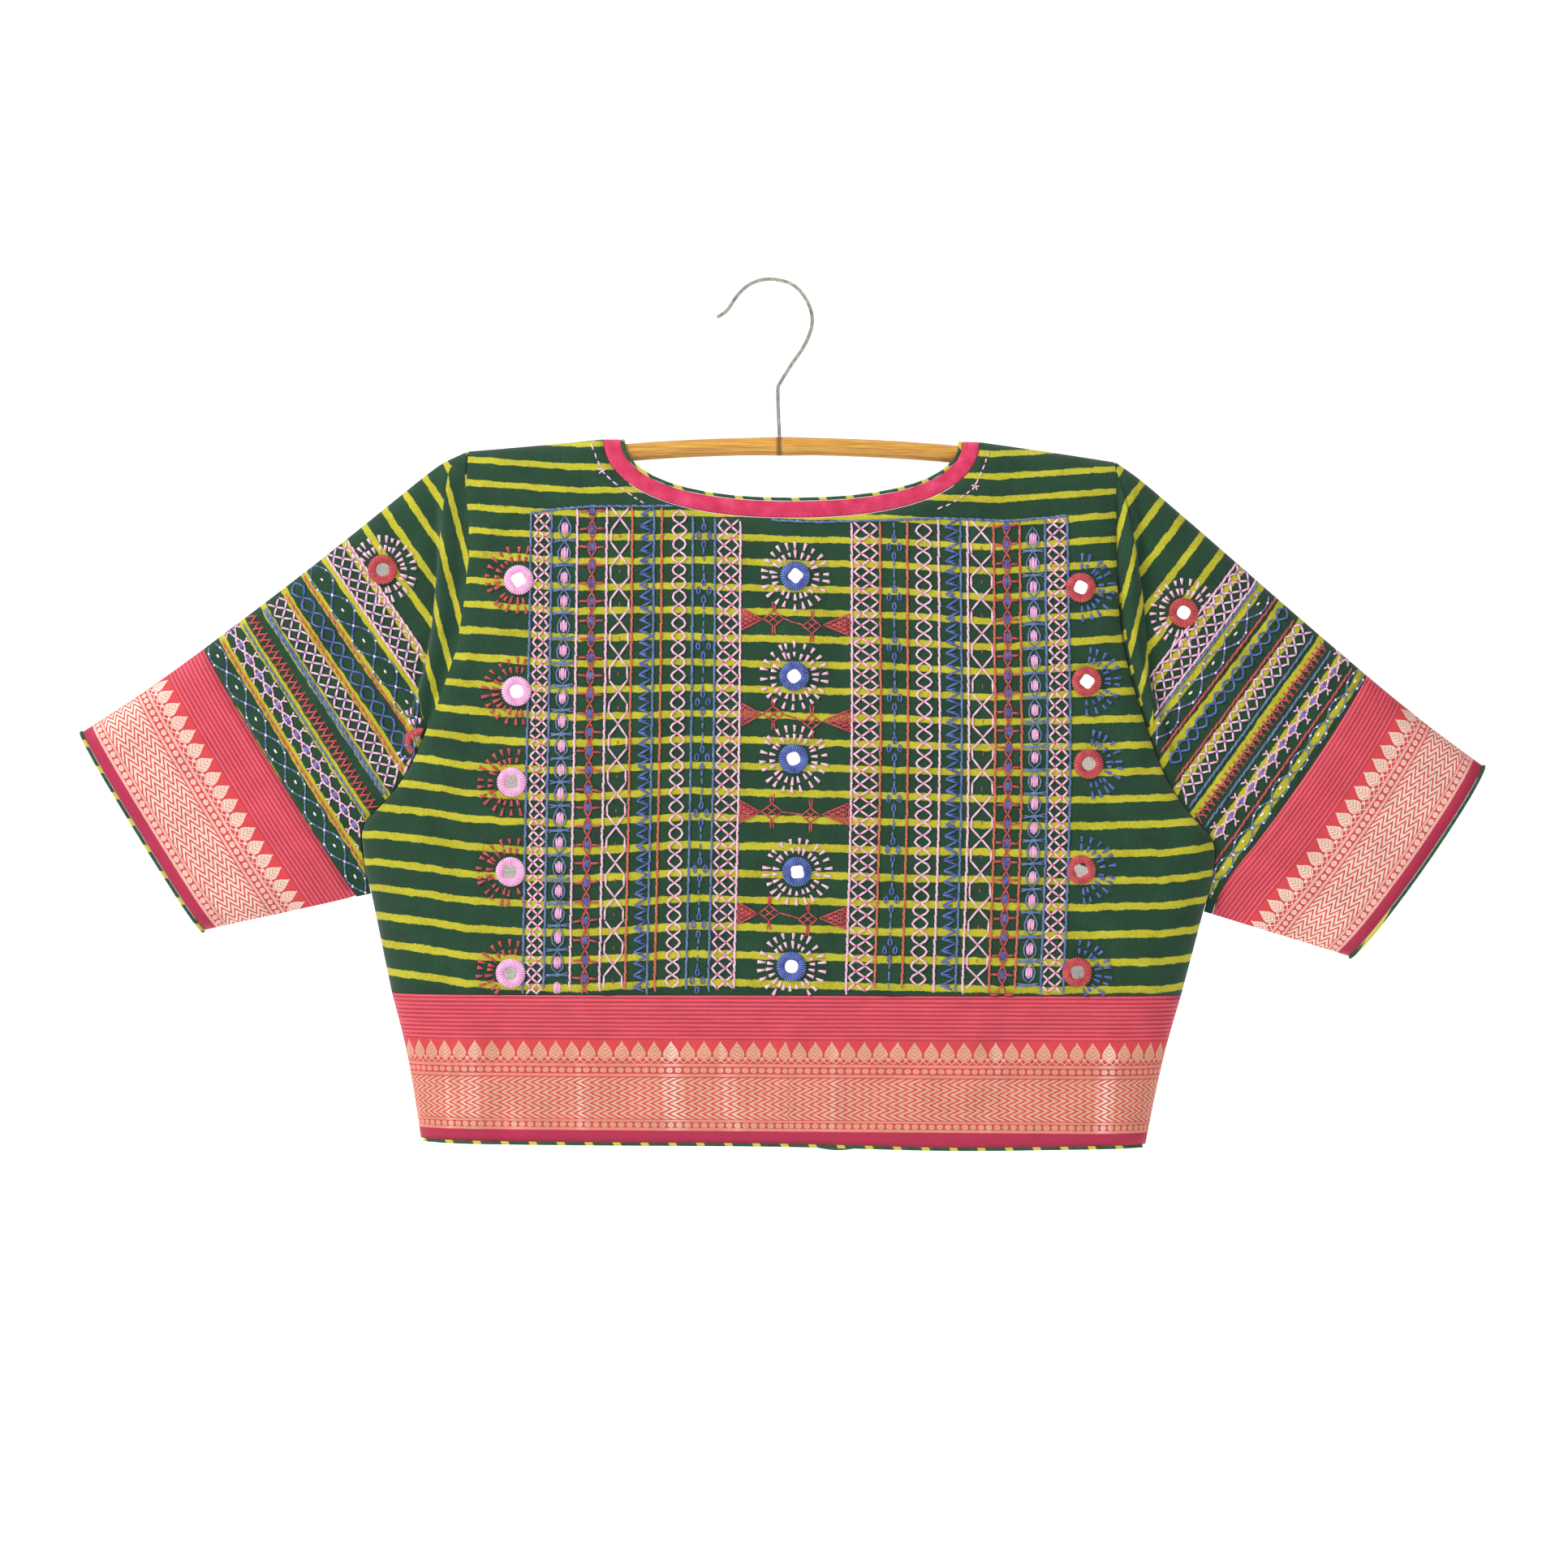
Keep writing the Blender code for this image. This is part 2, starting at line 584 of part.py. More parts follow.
class Panel:
    """A body panel. Its rows run from side to side and stop at the neckline above the notch
    level. Its columns fan out from the shoulders and the neckline to even steps at the bottom."""

    def __init__(self, face, levels, bottom_z, sides):
        self.face = face
        self.levels = levels
        self.bottom_z = bottom_z
        self.rolls = roll_steps()
        strap_rows = len([level for level in body_levels() if level >= self.notch()])
        self.neck = neckline(face, BINDING_WIDTH + SEAM)[strap_rows:]
        if len(sides) == 2:
            half = [(-x, z) for x, z in self.neck]
            self.middle = half + self.neck[-2::-1]
        elif sides[0] < 0:
            self.middle = [(-x, z) for x, z in self.neck[:-1]] + [(-SEAM / 2, self.neck[-1][1])]
        else:
            self.middle = [(SEAM / 2, self.neck[-1][1])] + self.neck[-2::-1]
        self.left = len(self.rolls) + STRAP_COLUMNS + 1 if -1 in sides else 0
        self.right = len(self.rolls) + STRAP_COLUMNS + 1 if 1 in sides else 0
        self.columns = self.left + len(self.middle) + self.right

    def notch(self):
        return BACK_NOTCH_LEVEL if self.face == BACK else FRONT_NOTCH_LEVEL

    def strap_x(self, step, level):
        """x of the step-th point of a shoulder strap, from the armhole to the neckline."""
        edge = half_width(level) - SEAM / 2
        roll = read_table(OUTLINE, level, "roll")
        if step < len(self.rolls):
            return edge - roll * self.rolls[step]
        neck = neck_x(self.face, height_under(self.face, NECK_POINT_Z, level), BINDING_WIDTH + SEAM)
        return mix(edge - roll, neck, (step - len(self.rolls)) / STRAP_COLUMNS)

    def strap_z(self, step, level):
        return height_under(self.face, shoulder_z(self.strap_x(step, SHOULDER_TIP_Z)), level)

    def place(self, column, row):
        """The point of a column and row, or None in the neck opening."""
        level = self.levels[row]
        if column < self.left:
            side, step = -1, column
        elif column >= self.columns - self.right:
            side, step = 1, self.columns - 1 - column
        else:
            side, step = 0, 0
        if level > self.notch() and not side:
            return None
        if level >= self.notch() or (side and step < len(self.rolls)):
            if side:
                x = side * self.strap_x(step, level)
                z = self.strap_z(step, level)
            else:
                x, z = self.middle[column - self.left]
        else:
            x, z = self.fan(column, side, step, level)
        bottom = panel_bottom(self.face)
        near_bottom = max((UNDERARM_Z - z) / (UNDERARM_Z - bottom), 0.0)
        return body_point(self.face, x, z + (self.bottom_z(x) - bottom) * near_bottom)

    def fan(self, column, side, step, level):
        """A point between the notch row and the even steps of the bottom row."""
        notch = self.notch()
        if side:
            notch_x, notch_z = side * self.strap_x(step, notch), self.strap_z(step, notch)
        else:
            notch_x, notch_z = self.middle[column - self.left]
        bottom = panel_bottom(self.face)
        up = (level - bottom) / (notch - bottom)
        reach = half_width(level) - SEAM / 2 - read_table(OUTLINE, level, "roll")
        notch_reach = half_width(notch) - SEAM / 2 - read_table(OUTLINE, notch, "roll")
        share = mix(self.low_share(column), notch_x / notch_reach, up ** FAN_POWER)
        return share * reach, mix(bottom, notch_z, up)

    def low_share(self, column):
        first = len(self.rolls) if self.left else 0
        last = self.columns - 1 - (len(self.rolls) if self.right else 0)
        start = -1.0 if self.left else SEAM / 2 / SHOULDER_TIP
        end = 1.0 if self.right else -SEAM / 2 / SHOULDER_TIP
        return mix(start, end, (column - first) / (last - first))


def build_back_panel(collection):
    levels = body_levels()[::-1]
    panel = Panel(BACK, levels, lambda x: WAIST_Z + SEAM, (-1, 1))
    cloth_sheet(collection, "back_panel", "striped_cotton", panel.columns, len(levels), panel.place)
    return [panel.low_share(k) for k in range(len(panel.rolls), panel.columns - len(panel.rolls))]


def build_waist_border(collection, middle):
    rolls = roll_steps()
    heights = border_levels() + [WAIST_Z]
    columns = len(middle) + 2 * len(rolls)

    def place(column, row):
        z = heights[row]
        edge = half_width(z) - SEAM / 2
        roll = read_table(OUTLINE, z, "roll")
        inner = column - len(rolls)
        if inner < 0:
            x = -(edge - roll * rolls[column])
        elif inner >= len(middle):
            x = edge - roll * rolls[columns - 1 - column]
        else:
            x = middle[inner] * (edge - roll)
        return body_point(BACK, x, z)

    cloth_sheet(collection, "waist_border", "zari_border", columns, len(heights), place)


def front_hem(x):
    return HEM_Z - FRONT_HEM_DROP - PLACKET_SAG * exp(-(((x - PLACKET_SAG_X) / PLACKET_SAG_WIDTH) ** 2))


def build_fronts(collection):
    levels = border_levels() + body_levels()[::-1]
    for name, side in (("front_left", -1), ("front_right", 1)):
        panel = Panel(FRONT, levels, front_hem, (side,))
        last = panel.columns - 1

        def place(column, row, panel=panel, last=last):
            return panel.place(last - column, row)

        cloth_sheet(collection, name, "striped_cotton", panel.columns, len(levels), place)


def build_placket(collection):
    """The overlap that covers the hooks down the middle of the front."""
    top = NECK_POINT_Z - FRONT_NECK_DEPTH - BINDING_WIDTH - 3 * SEAM

    def place(column, row):
        x = (0.5 - column / PLACKET_COLUMNS) * PLACKET_WIDTH
        z = mix(front_hem(x), top, row / PLACKET_ROWS)
        return body_point(FRONT, x, z, SEAM + WALL)

    columns, rows = PLACKET_COLUMNS + 1, PLACKET_ROWS + 1
    cloth_sheet(collection, "front_placket", "striped_cotton", columns, rows, place)


def build_binding(collection, name, face):
    lines = [whole_neckline(face, BINDING_WIDTH), whole_neckline(face, 0.0)]
    last = len(lines[0]) - 1

    def place(column, row):
        x, z = lines[row][column if face == BACK else last - column]
        return body_point(face, x, z)

    cloth_sheet(collection, name, "binding", last + 1, len(lines), place)


def sleeve_ring():
    """Shares and faces round a sleeve, from the top fold down its back and up its front."""
    shares = [(SHOULDER_TIP_Z - z) / (SHOULDER_TIP_Z - UNDERARM_Z) for z in body_levels() if z >= UNDERARM_Z]
    around = [(BACK, share) for share in shares] + [(FRONT, share) for share in shares[-2::-1]]
    return around


def build_sleeve(collection, side, name):
    sleeve = Sleeve(side)
    around = sleeve_ring()
    count = len(around)

    def ring_place(column, reach):
        face, share = around[column if side < 0 else count - 1 - column]
        return sleeve.point(face, share, reach)

    def lengths(column):
        """The length from armhole to cuff, and that to the border's seam."""
        share = around[column if side < 0 else count - 1 - column][1]
        whole = (sleeve.cuff(share)[0] - sleeve.armhole(share)[0]).length
        return whole, whole * sleeve.border_share(share)

    def sleeve_place(column, row):
        whole, to_seam = lengths(column)
        end = to_seam - SEAM
        near = [d * min(end / SLEEVE_STATIONS_LENGTH, 1.0) for d in SLEEVE_STATIONS]
        stations = near + [mix(near[-1], end, share) for share in SLEEVE_SHARES]
        return ring_place(column, stations[len(stations) - 1 - row] / whole)

    def border_place(column, row):
        whole, to_seam = lengths(column)
        share = BORDER_SHARES[len(BORDER_SHARES) - 1 - row]
        return ring_place(column, mix(to_seam / whole, 1.0, share))

    rows = len(SLEEVE_STATIONS) + len(SLEEVE_SHARES)
    cloth_sheet(collection, "sleeve_" + name, "striped_cotton", count, rows, sleeve_place, True)
    rows = len(BORDER_SHARES)
    cloth_sheet(collection, "sleeve_border_" + name, "zari_border", count, rows, border_place, True)
    piping = []
    for face, share in around[:-1]:
        point = sleeve.point(face, share, 1.0)
        point.y -= face * min(WALL / 2, abs(point.y))
        piping.append(point + sleeve.cuff_out * PIPING_REACH)
    tube(collection, "cuff_piping_" + name, "striped_cotton", piping, PIPING_RADIUS, True, FINE_BEVEL)


def build_body_piping(collection):
    """The striped cloth turned in at the hem and at the neck, which shows as a thin edge."""
    hem = []
    reach = half_width(HEM_Z) - HEM_PIPING_INSET
    for k in range(HEM_PIPING_STEPS + 1):
        x = mix(-reach, reach, k / HEM_PIPING_STEPS)
        point = body_point(BACK, x, HEM_Z, -WALL / 2)
        hem.append(point + Vector((0, 0, -PIPING_REACH)))
    tube(collection, "hem_piping", "striped_cotton", hem, PIPING_RADIUS, False, FINE_BEVEL)
    neck = []
    for face in (BACK, FRONT):
        line = whole_neckline(face, -PIPING_REACH)[::-face]
        for x, z in (line[0], *line[2:-2]):
            depth = body_depth(face, x, z)
            turned = depth / read_table(HANG, z, "back_depth" if face == BACK else "front_depth")
            y = depth + SEAM * smooth_step(depth) - WALL / 2 * turned
            neck.append(hang(x, face * y, z - WALL / 2 * sqrt(max(1 - turned * turned, 0.0))))
    tube(collection, "neck_piping", "striped_cotton", neck, PIPING_RADIUS, True, FINE_BEVEL)


def mirror_profile():
    """The section of a glass disc in its raised ring of thread, from its top middle down."""
    outline = [
        (0.0, GLASS_HEIGHT),
        (GLASS_RADIUS, GLASS_HEIGHT),
        ((RING_RADIUS + GLASS_RADIUS) / 2, RING_HEIGHT),
        (RING_RADIUS, RING_HEIGHT / 2),
        (RING_RADIUS - RING_UNDERCUT, 0.0),
        (0.0, 0.0),
    ]
    section = bmesh.new()
    points = [section.verts.new((radius * MM, 0, height * MM)) for radius, height in outline]
    for start, end in zip(points, points[1:]):
        section.edges.new((start, end))
    mesh = bpy.data.meshes.new("mirror_profile")
    section.to_mesh(mesh)
    section.free()
    return mesh


def set_mirror(collection, name, ring, profile, place, normal):
    thing = bpy.data.objects.new(name, profile.copy())
    collection.objects.link(thing)
    thing.location = (place + normal * MIRROR_LIFT) * MM
    thing.rotation_mode = "QUATERNION"
    thing.rotation_quaternion = normal.to_track_quat("Z", "Y")
    turned = thing.modifiers.new("turned", "SCREW")
    turned.steps = MIRROR_SIDES
    turned.render_steps = MIRROR_SIDES
    turned.use_merge_vertices = True
    turned.merge_threshold = 0.01 * MM
    return finish_object(thing, ring)


def sleeve_surface(sleeve, face, along, across):
    """The sleeve's outer surface at a place given from the shoulder tip along the top fold."""
    goal = sleeve.tip + sleeve.along * along + sleeve.across * across
    share = reach = 0.3
    step = 0.001
    for _ in range(SEARCH_STEPS):
        here = sleeve.point(face, share, reach)
        to_share = (sleeve.point(face, share + step, reach) - here) / step
        to_reach = (sleeve.point(face, share, reach + step) - here) / step
        miss = goal - here
        scale = to_share.x * to_reach.z - to_share.z * to_reach.x
        share += (miss.x * to_reach.z - miss.z * to_reach.x) / scale
        reach += (to_share.x * miss.z - to_share.z * miss.x) / scale
        share = min(max(share, step), 1 - step)
        reach = min(max(reach, 0.0), 1 - step)
    spread = 0.03
    down = sleeve.point(face, share + spread, reach) - sleeve.point(face, share - spread, reach)
    out = sleeve.point(face, share, reach + spread) - sleeve.point(face, share, reach - spread)
    normal = down.cross(out).normalized()
    if normal.y * face < 0:
        normal.negate()
    return sleeve.point(face, share, reach), normal


def build_mirrors(collection):
    profile = mirror_profile()
    for mirror in BACK_MIRRORS:
        place = body_point(BACK, mirror.x, mirror.z)
        normal = body_normal(BACK, mirror.x, mirror.z)
        set_mirror(collection, mirror.name, mirror.ring, profile, place, normal)
    for mirror in SLEEVE_MIRRORS:
        place, normal = sleeve_surface(Sleeve(mirror.side), mirror.face, mirror.along, mirror.across)
        set_mirror(collection, mirror.name, "red_thread", profile, place, normal)


def bar_z(x):
    return BAR_MIDDLE_Z - BAR_FALL[-1 if x < STEM_X else 1] * ((x - STEM_X) / BAR_FALL_AT) ** 2


def build_hanger(collection, cutters):
    points = []
    swell = []
    for k in range(BAR_STEPS + 1):
        x = mix(-BAR_HALF_LENGTH, BAR_HALF_LENGTH, k / BAR_STEPS) + CENTRE_X
        points.append(Vector((x, 0, bar_z(x))))
        off_knot = (x - STEM_X) - BAR_KNOT_SPACING * round((x - STEM_X) / BAR_KNOT_SPACING)
        swell.append(1 + BAR_KNOT_SWELL * exp(-((off_knot / BAR_KNOT_WIDTH) ** 2)))
    curve = tube(collection, "hanger_bar", "bamboo", points, BAR_RADIUS, False, BAR_BEVEL, swell)
    bar = as_mesh(collection, curve)
    bpy.ops.mesh.primitive_cylinder_add(
        vertices=STEM_HOLE_SIDES,
        radius=(WIRE_RADIUS + STEM_CLEARANCE) * MM,
        depth=STEM_DEPTH * 2 * MM,
        location=(STEM_X * MM, 0, (BAR_MIDDLE_Z + BAR_RADIUS + STEM_HOLE_PROUD) * MM),
    )
    drill = bpy.context.object
    drill.name = "stem_hole"
    for holder in list(drill.users_collection):
        holder.objects.unlink(drill)
    cutters.objects.link(drill)
    drill.hide_render = True
    drill.display_type = "WIRE"
    hole = bar.modifiers.new("stem_hole", "BOOLEAN")
    hole.object = drill
    hole.operation = "DIFFERENCE"
    foot = [Vector((STEM_X, 0, BAR_MIDDLE_Z + rise)) for rise in (STEM_FOOT, BAR_RADIUS + STEM_RISE)]
    bends = [Vector((bend.x, 0, bend.z)) for bend in HOOK]
    route = [*foot, *smooth_route(bends, HOOK_STEPS)]
    tube(collection, "hanger_hook", "wire", route, WIRE_RADIUS, False, FINE_BEVEL)


def smooth_route(points, between):
    """A curve through the points, with some more between each two."""
    route = []
    for k in range(len(points) - 1):
        before = points[max(k - 1, 0)]
        after = points[min(k + 2, len(points) - 1)]
        start, end = points[k], points[k + 1]
        leave = (end - before) / 2
        arrive = (after - start) / 2
        for j in range(between):
            t = j / between
            route.append(
                start * ((1 + 2 * t) * (1 - t) ** 2)
                + leave * (t * (1 - t) ** 2)
                + end * (t * t * (3 - 2 * t))
                - arrive * (t * t * (1 - t))
            )
    return [*route, points[-1]]


def main():
    clear_scene()
    parts = new_collection("choli_blouse")
    cutters = new_collection("cutters")
    build_waist_border(parts, build_back_panel(parts))
    build_fronts(parts)
    build_placket(parts)
    build_binding(parts, "neck_binding_back", BACK)
    build_binding(parts, "neck_binding_front", FRONT)
    build_sleeve(parts, -1, "left")
    build_sleeve(parts, 1, "right")
    build_body_piping(parts)
    build_mirrors(parts)
    build_hanger(parts, cutters)


main()
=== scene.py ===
from collections import namedtuple
from functools import partial
from math import atan2, ceil, cos, dist, pi, radians, sin, sqrt

import bmesh
import bpy
import numpy as np
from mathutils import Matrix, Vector
from mathutils.bvhtree import BVHTree


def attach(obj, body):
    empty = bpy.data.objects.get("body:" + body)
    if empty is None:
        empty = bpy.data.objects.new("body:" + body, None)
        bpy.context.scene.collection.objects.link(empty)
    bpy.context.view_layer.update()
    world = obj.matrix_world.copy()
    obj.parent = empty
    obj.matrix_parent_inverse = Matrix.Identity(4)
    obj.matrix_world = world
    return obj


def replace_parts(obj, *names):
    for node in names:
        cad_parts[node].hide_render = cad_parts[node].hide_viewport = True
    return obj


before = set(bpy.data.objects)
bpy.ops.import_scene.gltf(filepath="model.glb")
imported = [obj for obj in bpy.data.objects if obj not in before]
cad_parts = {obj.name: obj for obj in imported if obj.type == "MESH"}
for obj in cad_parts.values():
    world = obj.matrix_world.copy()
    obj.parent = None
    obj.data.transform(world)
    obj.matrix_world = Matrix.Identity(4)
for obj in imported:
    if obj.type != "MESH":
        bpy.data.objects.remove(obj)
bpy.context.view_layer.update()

# Back panel: the shown side of the blouse, one piece of plain-woven cotton that was block-printed
# dark green so that yellow stripes stay. It has a shallow round neck, and is sewn to the fronts at
# the shoulders and sides, where the cloth pulls into soft creases.


def linear(code):
    """An sRGB hex colour as a linear one, opaque."""
    parts = [int(code[k : k + 2], 16) / 255 for k in (1, 3, 5)]
    return tuple(((p + 0.055) / 1.055) ** 2.4 if p > 0.04045 else p / 12.92 for p in parts) + (1.0,)


def add_node(material, kind, inputs=None, out=0, stops=(), **settings):
    """Adds a shader node with its settings, and links or sets its inputs. Gives one of its outputs."""
    made = material.node_tree.nodes.new("ShaderNode" + kind)
    for name, value in settings.items():
        setattr(made, name, value)
    if stops:
        made.color_ramp.elements.remove(made.color_ramp.elements[1])
        made.color_ramp.elements[0].position = stops[0][0]
        made.color_ramp.elements[0].color = stops[0][1]
    for position, colour in stops[1:]:
        made.color_ramp.elements.new(position).color = colour
    for name, value in (inputs or {}).items():
        socket = made.inputs[name]
        if isinstance(value, bpy.types.NodeSocket):
            material.node_tree.links.new(value, socket)
        else:
            socket.default_value = value
    return made.outputs[out]


def new_material(name, inputs):
    """A material whose shader takes the values and links that inputs gives by name, with the nodes
    that inputs adds."""
    material = bpy.data.materials.new(name)
    material.use_nodes = True
    shader = material.node_tree.nodes["Principled BSDF"]
    for key, value in inputs(partial(add_node, material)).items():
        if isinstance(value, bpy.types.NodeSocket):
            material.node_tree.links.new(value, shader.inputs[key])
        else:
            shader.inputs[key].default_value = value
    return material


STRIPE_PITCH = 14.6
STRIPE_HALF = 1.95
THREAD_PITCH = 0.55
GREEN = "#1B432A"
DEEP_GREEN = "#123320"
YELLOW = "#B8B227"
DEEP_YELLOW = "#9A9518"


def printed_cotton(name, fade):
    """Hand-printed cotton: wavering stripe edges, uneven dye, a plain weave with slubs, its threads
    drawn a little coarse so that they show. fade mixes in the pale ground of the wrong side."""

    def inputs(node):
        place = node("UVMap")
        parts = node("SeparateXYZ", {0: place}).node.outputs
        slow = node("TexNoise", {"Vector": place, "Scale": 0.022, "Detail": 1.0})
        quick = node("TexNoise", {"Vector": place, "Scale": 0.16, "Detail": 3.0})
        fine = node("TexNoise", {"Vector": place, "Scale": 1.1, "Detail": 2.0})
        waver = node("Math", {0: slow, 1: 1.8, 2: parts[1]}, operation="MULTIPLY_ADD")
        waver = node("Math", {0: quick, 1: 2.2, 2: waver}, operation="MULTIPLY_ADD")
        waver = node("Math", {0: waver, 1: 2.0}, operation="SUBTRACT")
        off = node("Math", {0: waver, 1: STRIPE_PITCH / 2}, operation="PINGPONG")
        off = node("Math", {0: fine, 1: 0.9, 2: off}, operation="MULTIPLY_ADD")
        stripe = node("MapRange", {0: off, 1: STRIPE_HALF + 0.65, 2: STRIPE_HALF + 0.2})
        dye = node("TexNoise", {"Vector": place, "Scale": 0.05, "Detail": 5.0, "Roughness": 0.6})
        speck = node("TexNoise", {"Vector": place, "Scale": 0.7, "Detail": 3.0})
        mottle = node("Mix", {0: 0.45, 2: dye, 3: speck})
        green = node(
            "ValToRGB", {0: mottle},
            stops=[(0.36, linear(DEEP_GREEN)), (0.6, linear(GREEN)), (0.75, linear("#285638"))],
        )
        yellow = node(
            "ValToRGB", {0: mottle},
            stops=[(0.34, linear(DEEP_YELLOW)), (0.52, linear(YELLOW)), (0.7, linear("#CAC23A"))],
        )
        print_colour = node("Mix", {0: stripe, 6: green, 7: yellow}, out=2, data_type="RGBA")
        pale = node(
            "Mix", {0: stripe, 6: linear("#5B7A5F"), 7: linear("#C9C67A")}, out=2, data_type="RGBA"
        )
        colour = node("Mix", {0: fade, 6: print_colour, 7: pale}, out=2, data_type="RGBA")
        warp = node("Math", {0: parts[0], 1: 2 * pi / THREAD_PITCH}, operation="MULTIPLY")
        warp = node("Math", {0: warp}, operation="SINE")
        weft = node("Math", {0: parts[1], 1: 2 * pi / THREAD_PITCH}, operation="MULTIPLY")
        weft = node("Math", {0: weft}, operation="SINE")
        weave = node("Math", {0: warp, 1: weft, 2: quick}, operation="MULTIPLY_ADD")
        stretched = node("Mapping", {0: place, 3: (0.05, 1.6, 1.0)})
        slub = node("TexNoise", {"Vector": stretched, "Scale": 1.0, "Detail": 2.0})
        height = node("Math", {0: slub, 1: 2.0, 2: weave}, operation="MULTIPLY_ADD")
        bump = node("Bump", {"Strength": 0.35, "Distance": 0.00012, "Height": height})
        rough = node("MapRange", {0: speck, 3: 0.78, 4: 0.95})
        return {
            "Base Color": colour,
            "Roughness": rough,
            "Normal": bump,
            "Sheen Weight": 0.12,
            "Sheen Roughness": 0.6,
            "Specular IOR Level": 0.25,
        }

    return new_material(name, inputs)


COTTON = printed_cotton("block_printed_cotton", 0.0)
COTTON_BACK = printed_cotton("block_printed_cotton_wrong_side", 0.6)

Crease = namedtuple("Crease", "x z turn length width height")


def relief(x, z, rows):
    """How far creases stand out, in mm: each is a trough or ridge, bent, steeper on one side."""
    total = np.zeros_like(x)
    for row in rows:
        turn = radians(row.turn)
        along = (x - row.x) * cos(turn) + (z - row.z) * sin(turn)
        across = (z - row.z) * cos(turn) - (x - row.x) * sin(turn)
        across = across + row.width * 0.5 * np.sin(along / row.length * 2.6 + row.x)
        wide = row.width * (1 + 0.3 * np.sin(along / row.length * 5 + row.z))
        wide = wide * np.where(across > 0, 0.75, 1.25)
        total += row.height * np.exp(-((across / wide) ** 2)) * np.exp(-((along / row.length) ** 4))
    return total


SEAM_REACH = 4.0


def drawn_together(y, z, top):
    """Brings the last few mm of a panel in to the other one at the side seams, below top."""
    depth = abs(y)
    marks = np.arange(z.min() + 1.0, top, 5.0)
    edges = [depth[abs(z - mark) < 6.0].min(initial=5.0) for mark in marks]
    edge = np.interp(z, marks, edges)
    share = np.clip((depth - edge) / SEAM_REACH, 0.0, 1.0)
    return np.sign(y) * (depth - (edge - 0.15) * (1 - share) * np.clip((top - z) / 10.0, 0.0, 1.0))


def lay_out(mesh, places):
    """Gives each corner of a mesh its point's place on the flat cloth or thread, in mm."""
    corners = np.empty(len(mesh.loops), dtype=int)
    mesh.loops.foreach_get("vertex_index", corners)
    layer = mesh.uv_layers.get("UVMap") or mesh.uv_layers.new(name="UVMap")
    layer.data.foreach_set("uv", np.array(places)[corners].ravel())


def dressed(name, creases, pattern, right_side, wrong_side, slot, levels=2, rim=1.0, seams_below=None):
    """A finer, creased copy of a cloth solid. pattern gives each point's place on the cloth in mm.
    rim is how sharp the wall's edges stay, and below seams_below the side seams are closed."""
    shell = bpy.data.objects.new(name + "_cloth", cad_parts[name].data.copy())
    bpy.context.scene.collection.objects.link(shell)
    mesh = bmesh.new()
    mesh.from_mesh(shell.data)
    bmesh.ops.remove_doubles(mesh, verts=mesh.verts, dist=1e-6)
    limits = {"angle_face_threshold": radians(40), "angle_shape_threshold": radians(80)}
    bmesh.ops.join_triangles(mesh, faces=mesh.faces, **limits)
    crease = mesh.edges.layers.float.new("crease_edge")
    for edge in mesh.edges:
        if edge.calc_face_angle(0) > radians(50):
            edge[crease] = rim
    mesh.to_mesh(shell.data)
    mesh.free()
    finer = shell.modifiers.new("finer", "SUBSURF")
    finer.levels = levels
    finer.render_levels = levels
    bpy.context.view_layer.update()
    fine = bpy.data.meshes.new_from_object(shell.evaluated_get(bpy.context.evaluated_depsgraph_get()))
    shell.modifiers.clear()
    shell.data = fine
    points = np.empty(len(fine.vertices) * 3)
    fine.vertices.foreach_get("co", points)
    points = points.reshape(-1, 3) * 1000
    side = np.sign(points[:, 1])
    for face in (-1, 1):
        here = side == face
        points[here, 1] += face * relief(points[here, 0], points[here, 2], creases)
    if seams_below:
        points[:, 1] = drawn_together(points[:, 1], points[:, 2], seams_below)
    fine.vertices.foreach_set("co", (points / 1000).ravel())
    lay_out(fine, np.array(pattern(points[:, 0], points[:, 1], points[:, 2])).T)
    fine.materials.clear()
    fine.materials.append(right_side)
    fine.materials.append(wrong_side)
    fine.update()
    for face in fine.polygons:
        face.use_smooth = True
        inside = face.normal.y * face.center.y < 0 and abs(face.normal.y) > 0.35
        face.material_index = 1 if inside else 0
    fine.set_sharp_from_angle(angle=radians(50))
    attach(shell, "root")
    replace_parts(shell, name)
    return shell


# heights of the yellow stripes at the left of the back, and how far they drop across it, above and
# below its middle, mm: the print hangs a little askew
STRIPES = (
    -47.8, -60.7, -73.6, -86.6, -99.7, -112.5, -126.0, -138.8, -151.9, -166.5, -179.3, -194.0,
    -208.4, -223.4, -238.5, -253.4, -268.4, -283.5, -297.7, -313.2, -328.3, -342.5, -357.8, -373.1,
    -388.4, -403.4, -418.2, -433.6, -448.5, -463.9, -478.8, -494.0, -509.0,
)
Drop = namedtuple("Drop", "x upper lower")
DROPS = [
    Drop(-214.5, -4.0, -7.0),
    Drop(-205.5, -3.6, -6.0),
    Drop(-196.5, -3.0, -5.2),
    Drop(-187.5, -2.4, -4.1),
    Drop(-178.5, -1.6, -2.6),
    Drop(-169.5, -0.5, -0.9),
    Drop(-160.5, 0.0, 0.0),
    Drop(-130.0, 2.2, 1.8),
    Drop(-104.0, 3.9, 2.2),
    Drop(-43.6, 3.2, -1.6),
    Drop(64.0, 6.0, 1.4),
    Drop(125.0, 9.4, 2.9),
    Drop(179.0, 5.5, 3.5),
    Drop(199.0, 4.2, 3.0),
    Drop(217.0, 3.4, 2.6),
    Drop(235.0, 3.0, 1.0),
    Drop(244.0, 2.6, -0.6),
]
# the upper drops hold down to the first of these heights, the lower ones from the second
DROP_HEIGHTS = (-203.0, -283.0)


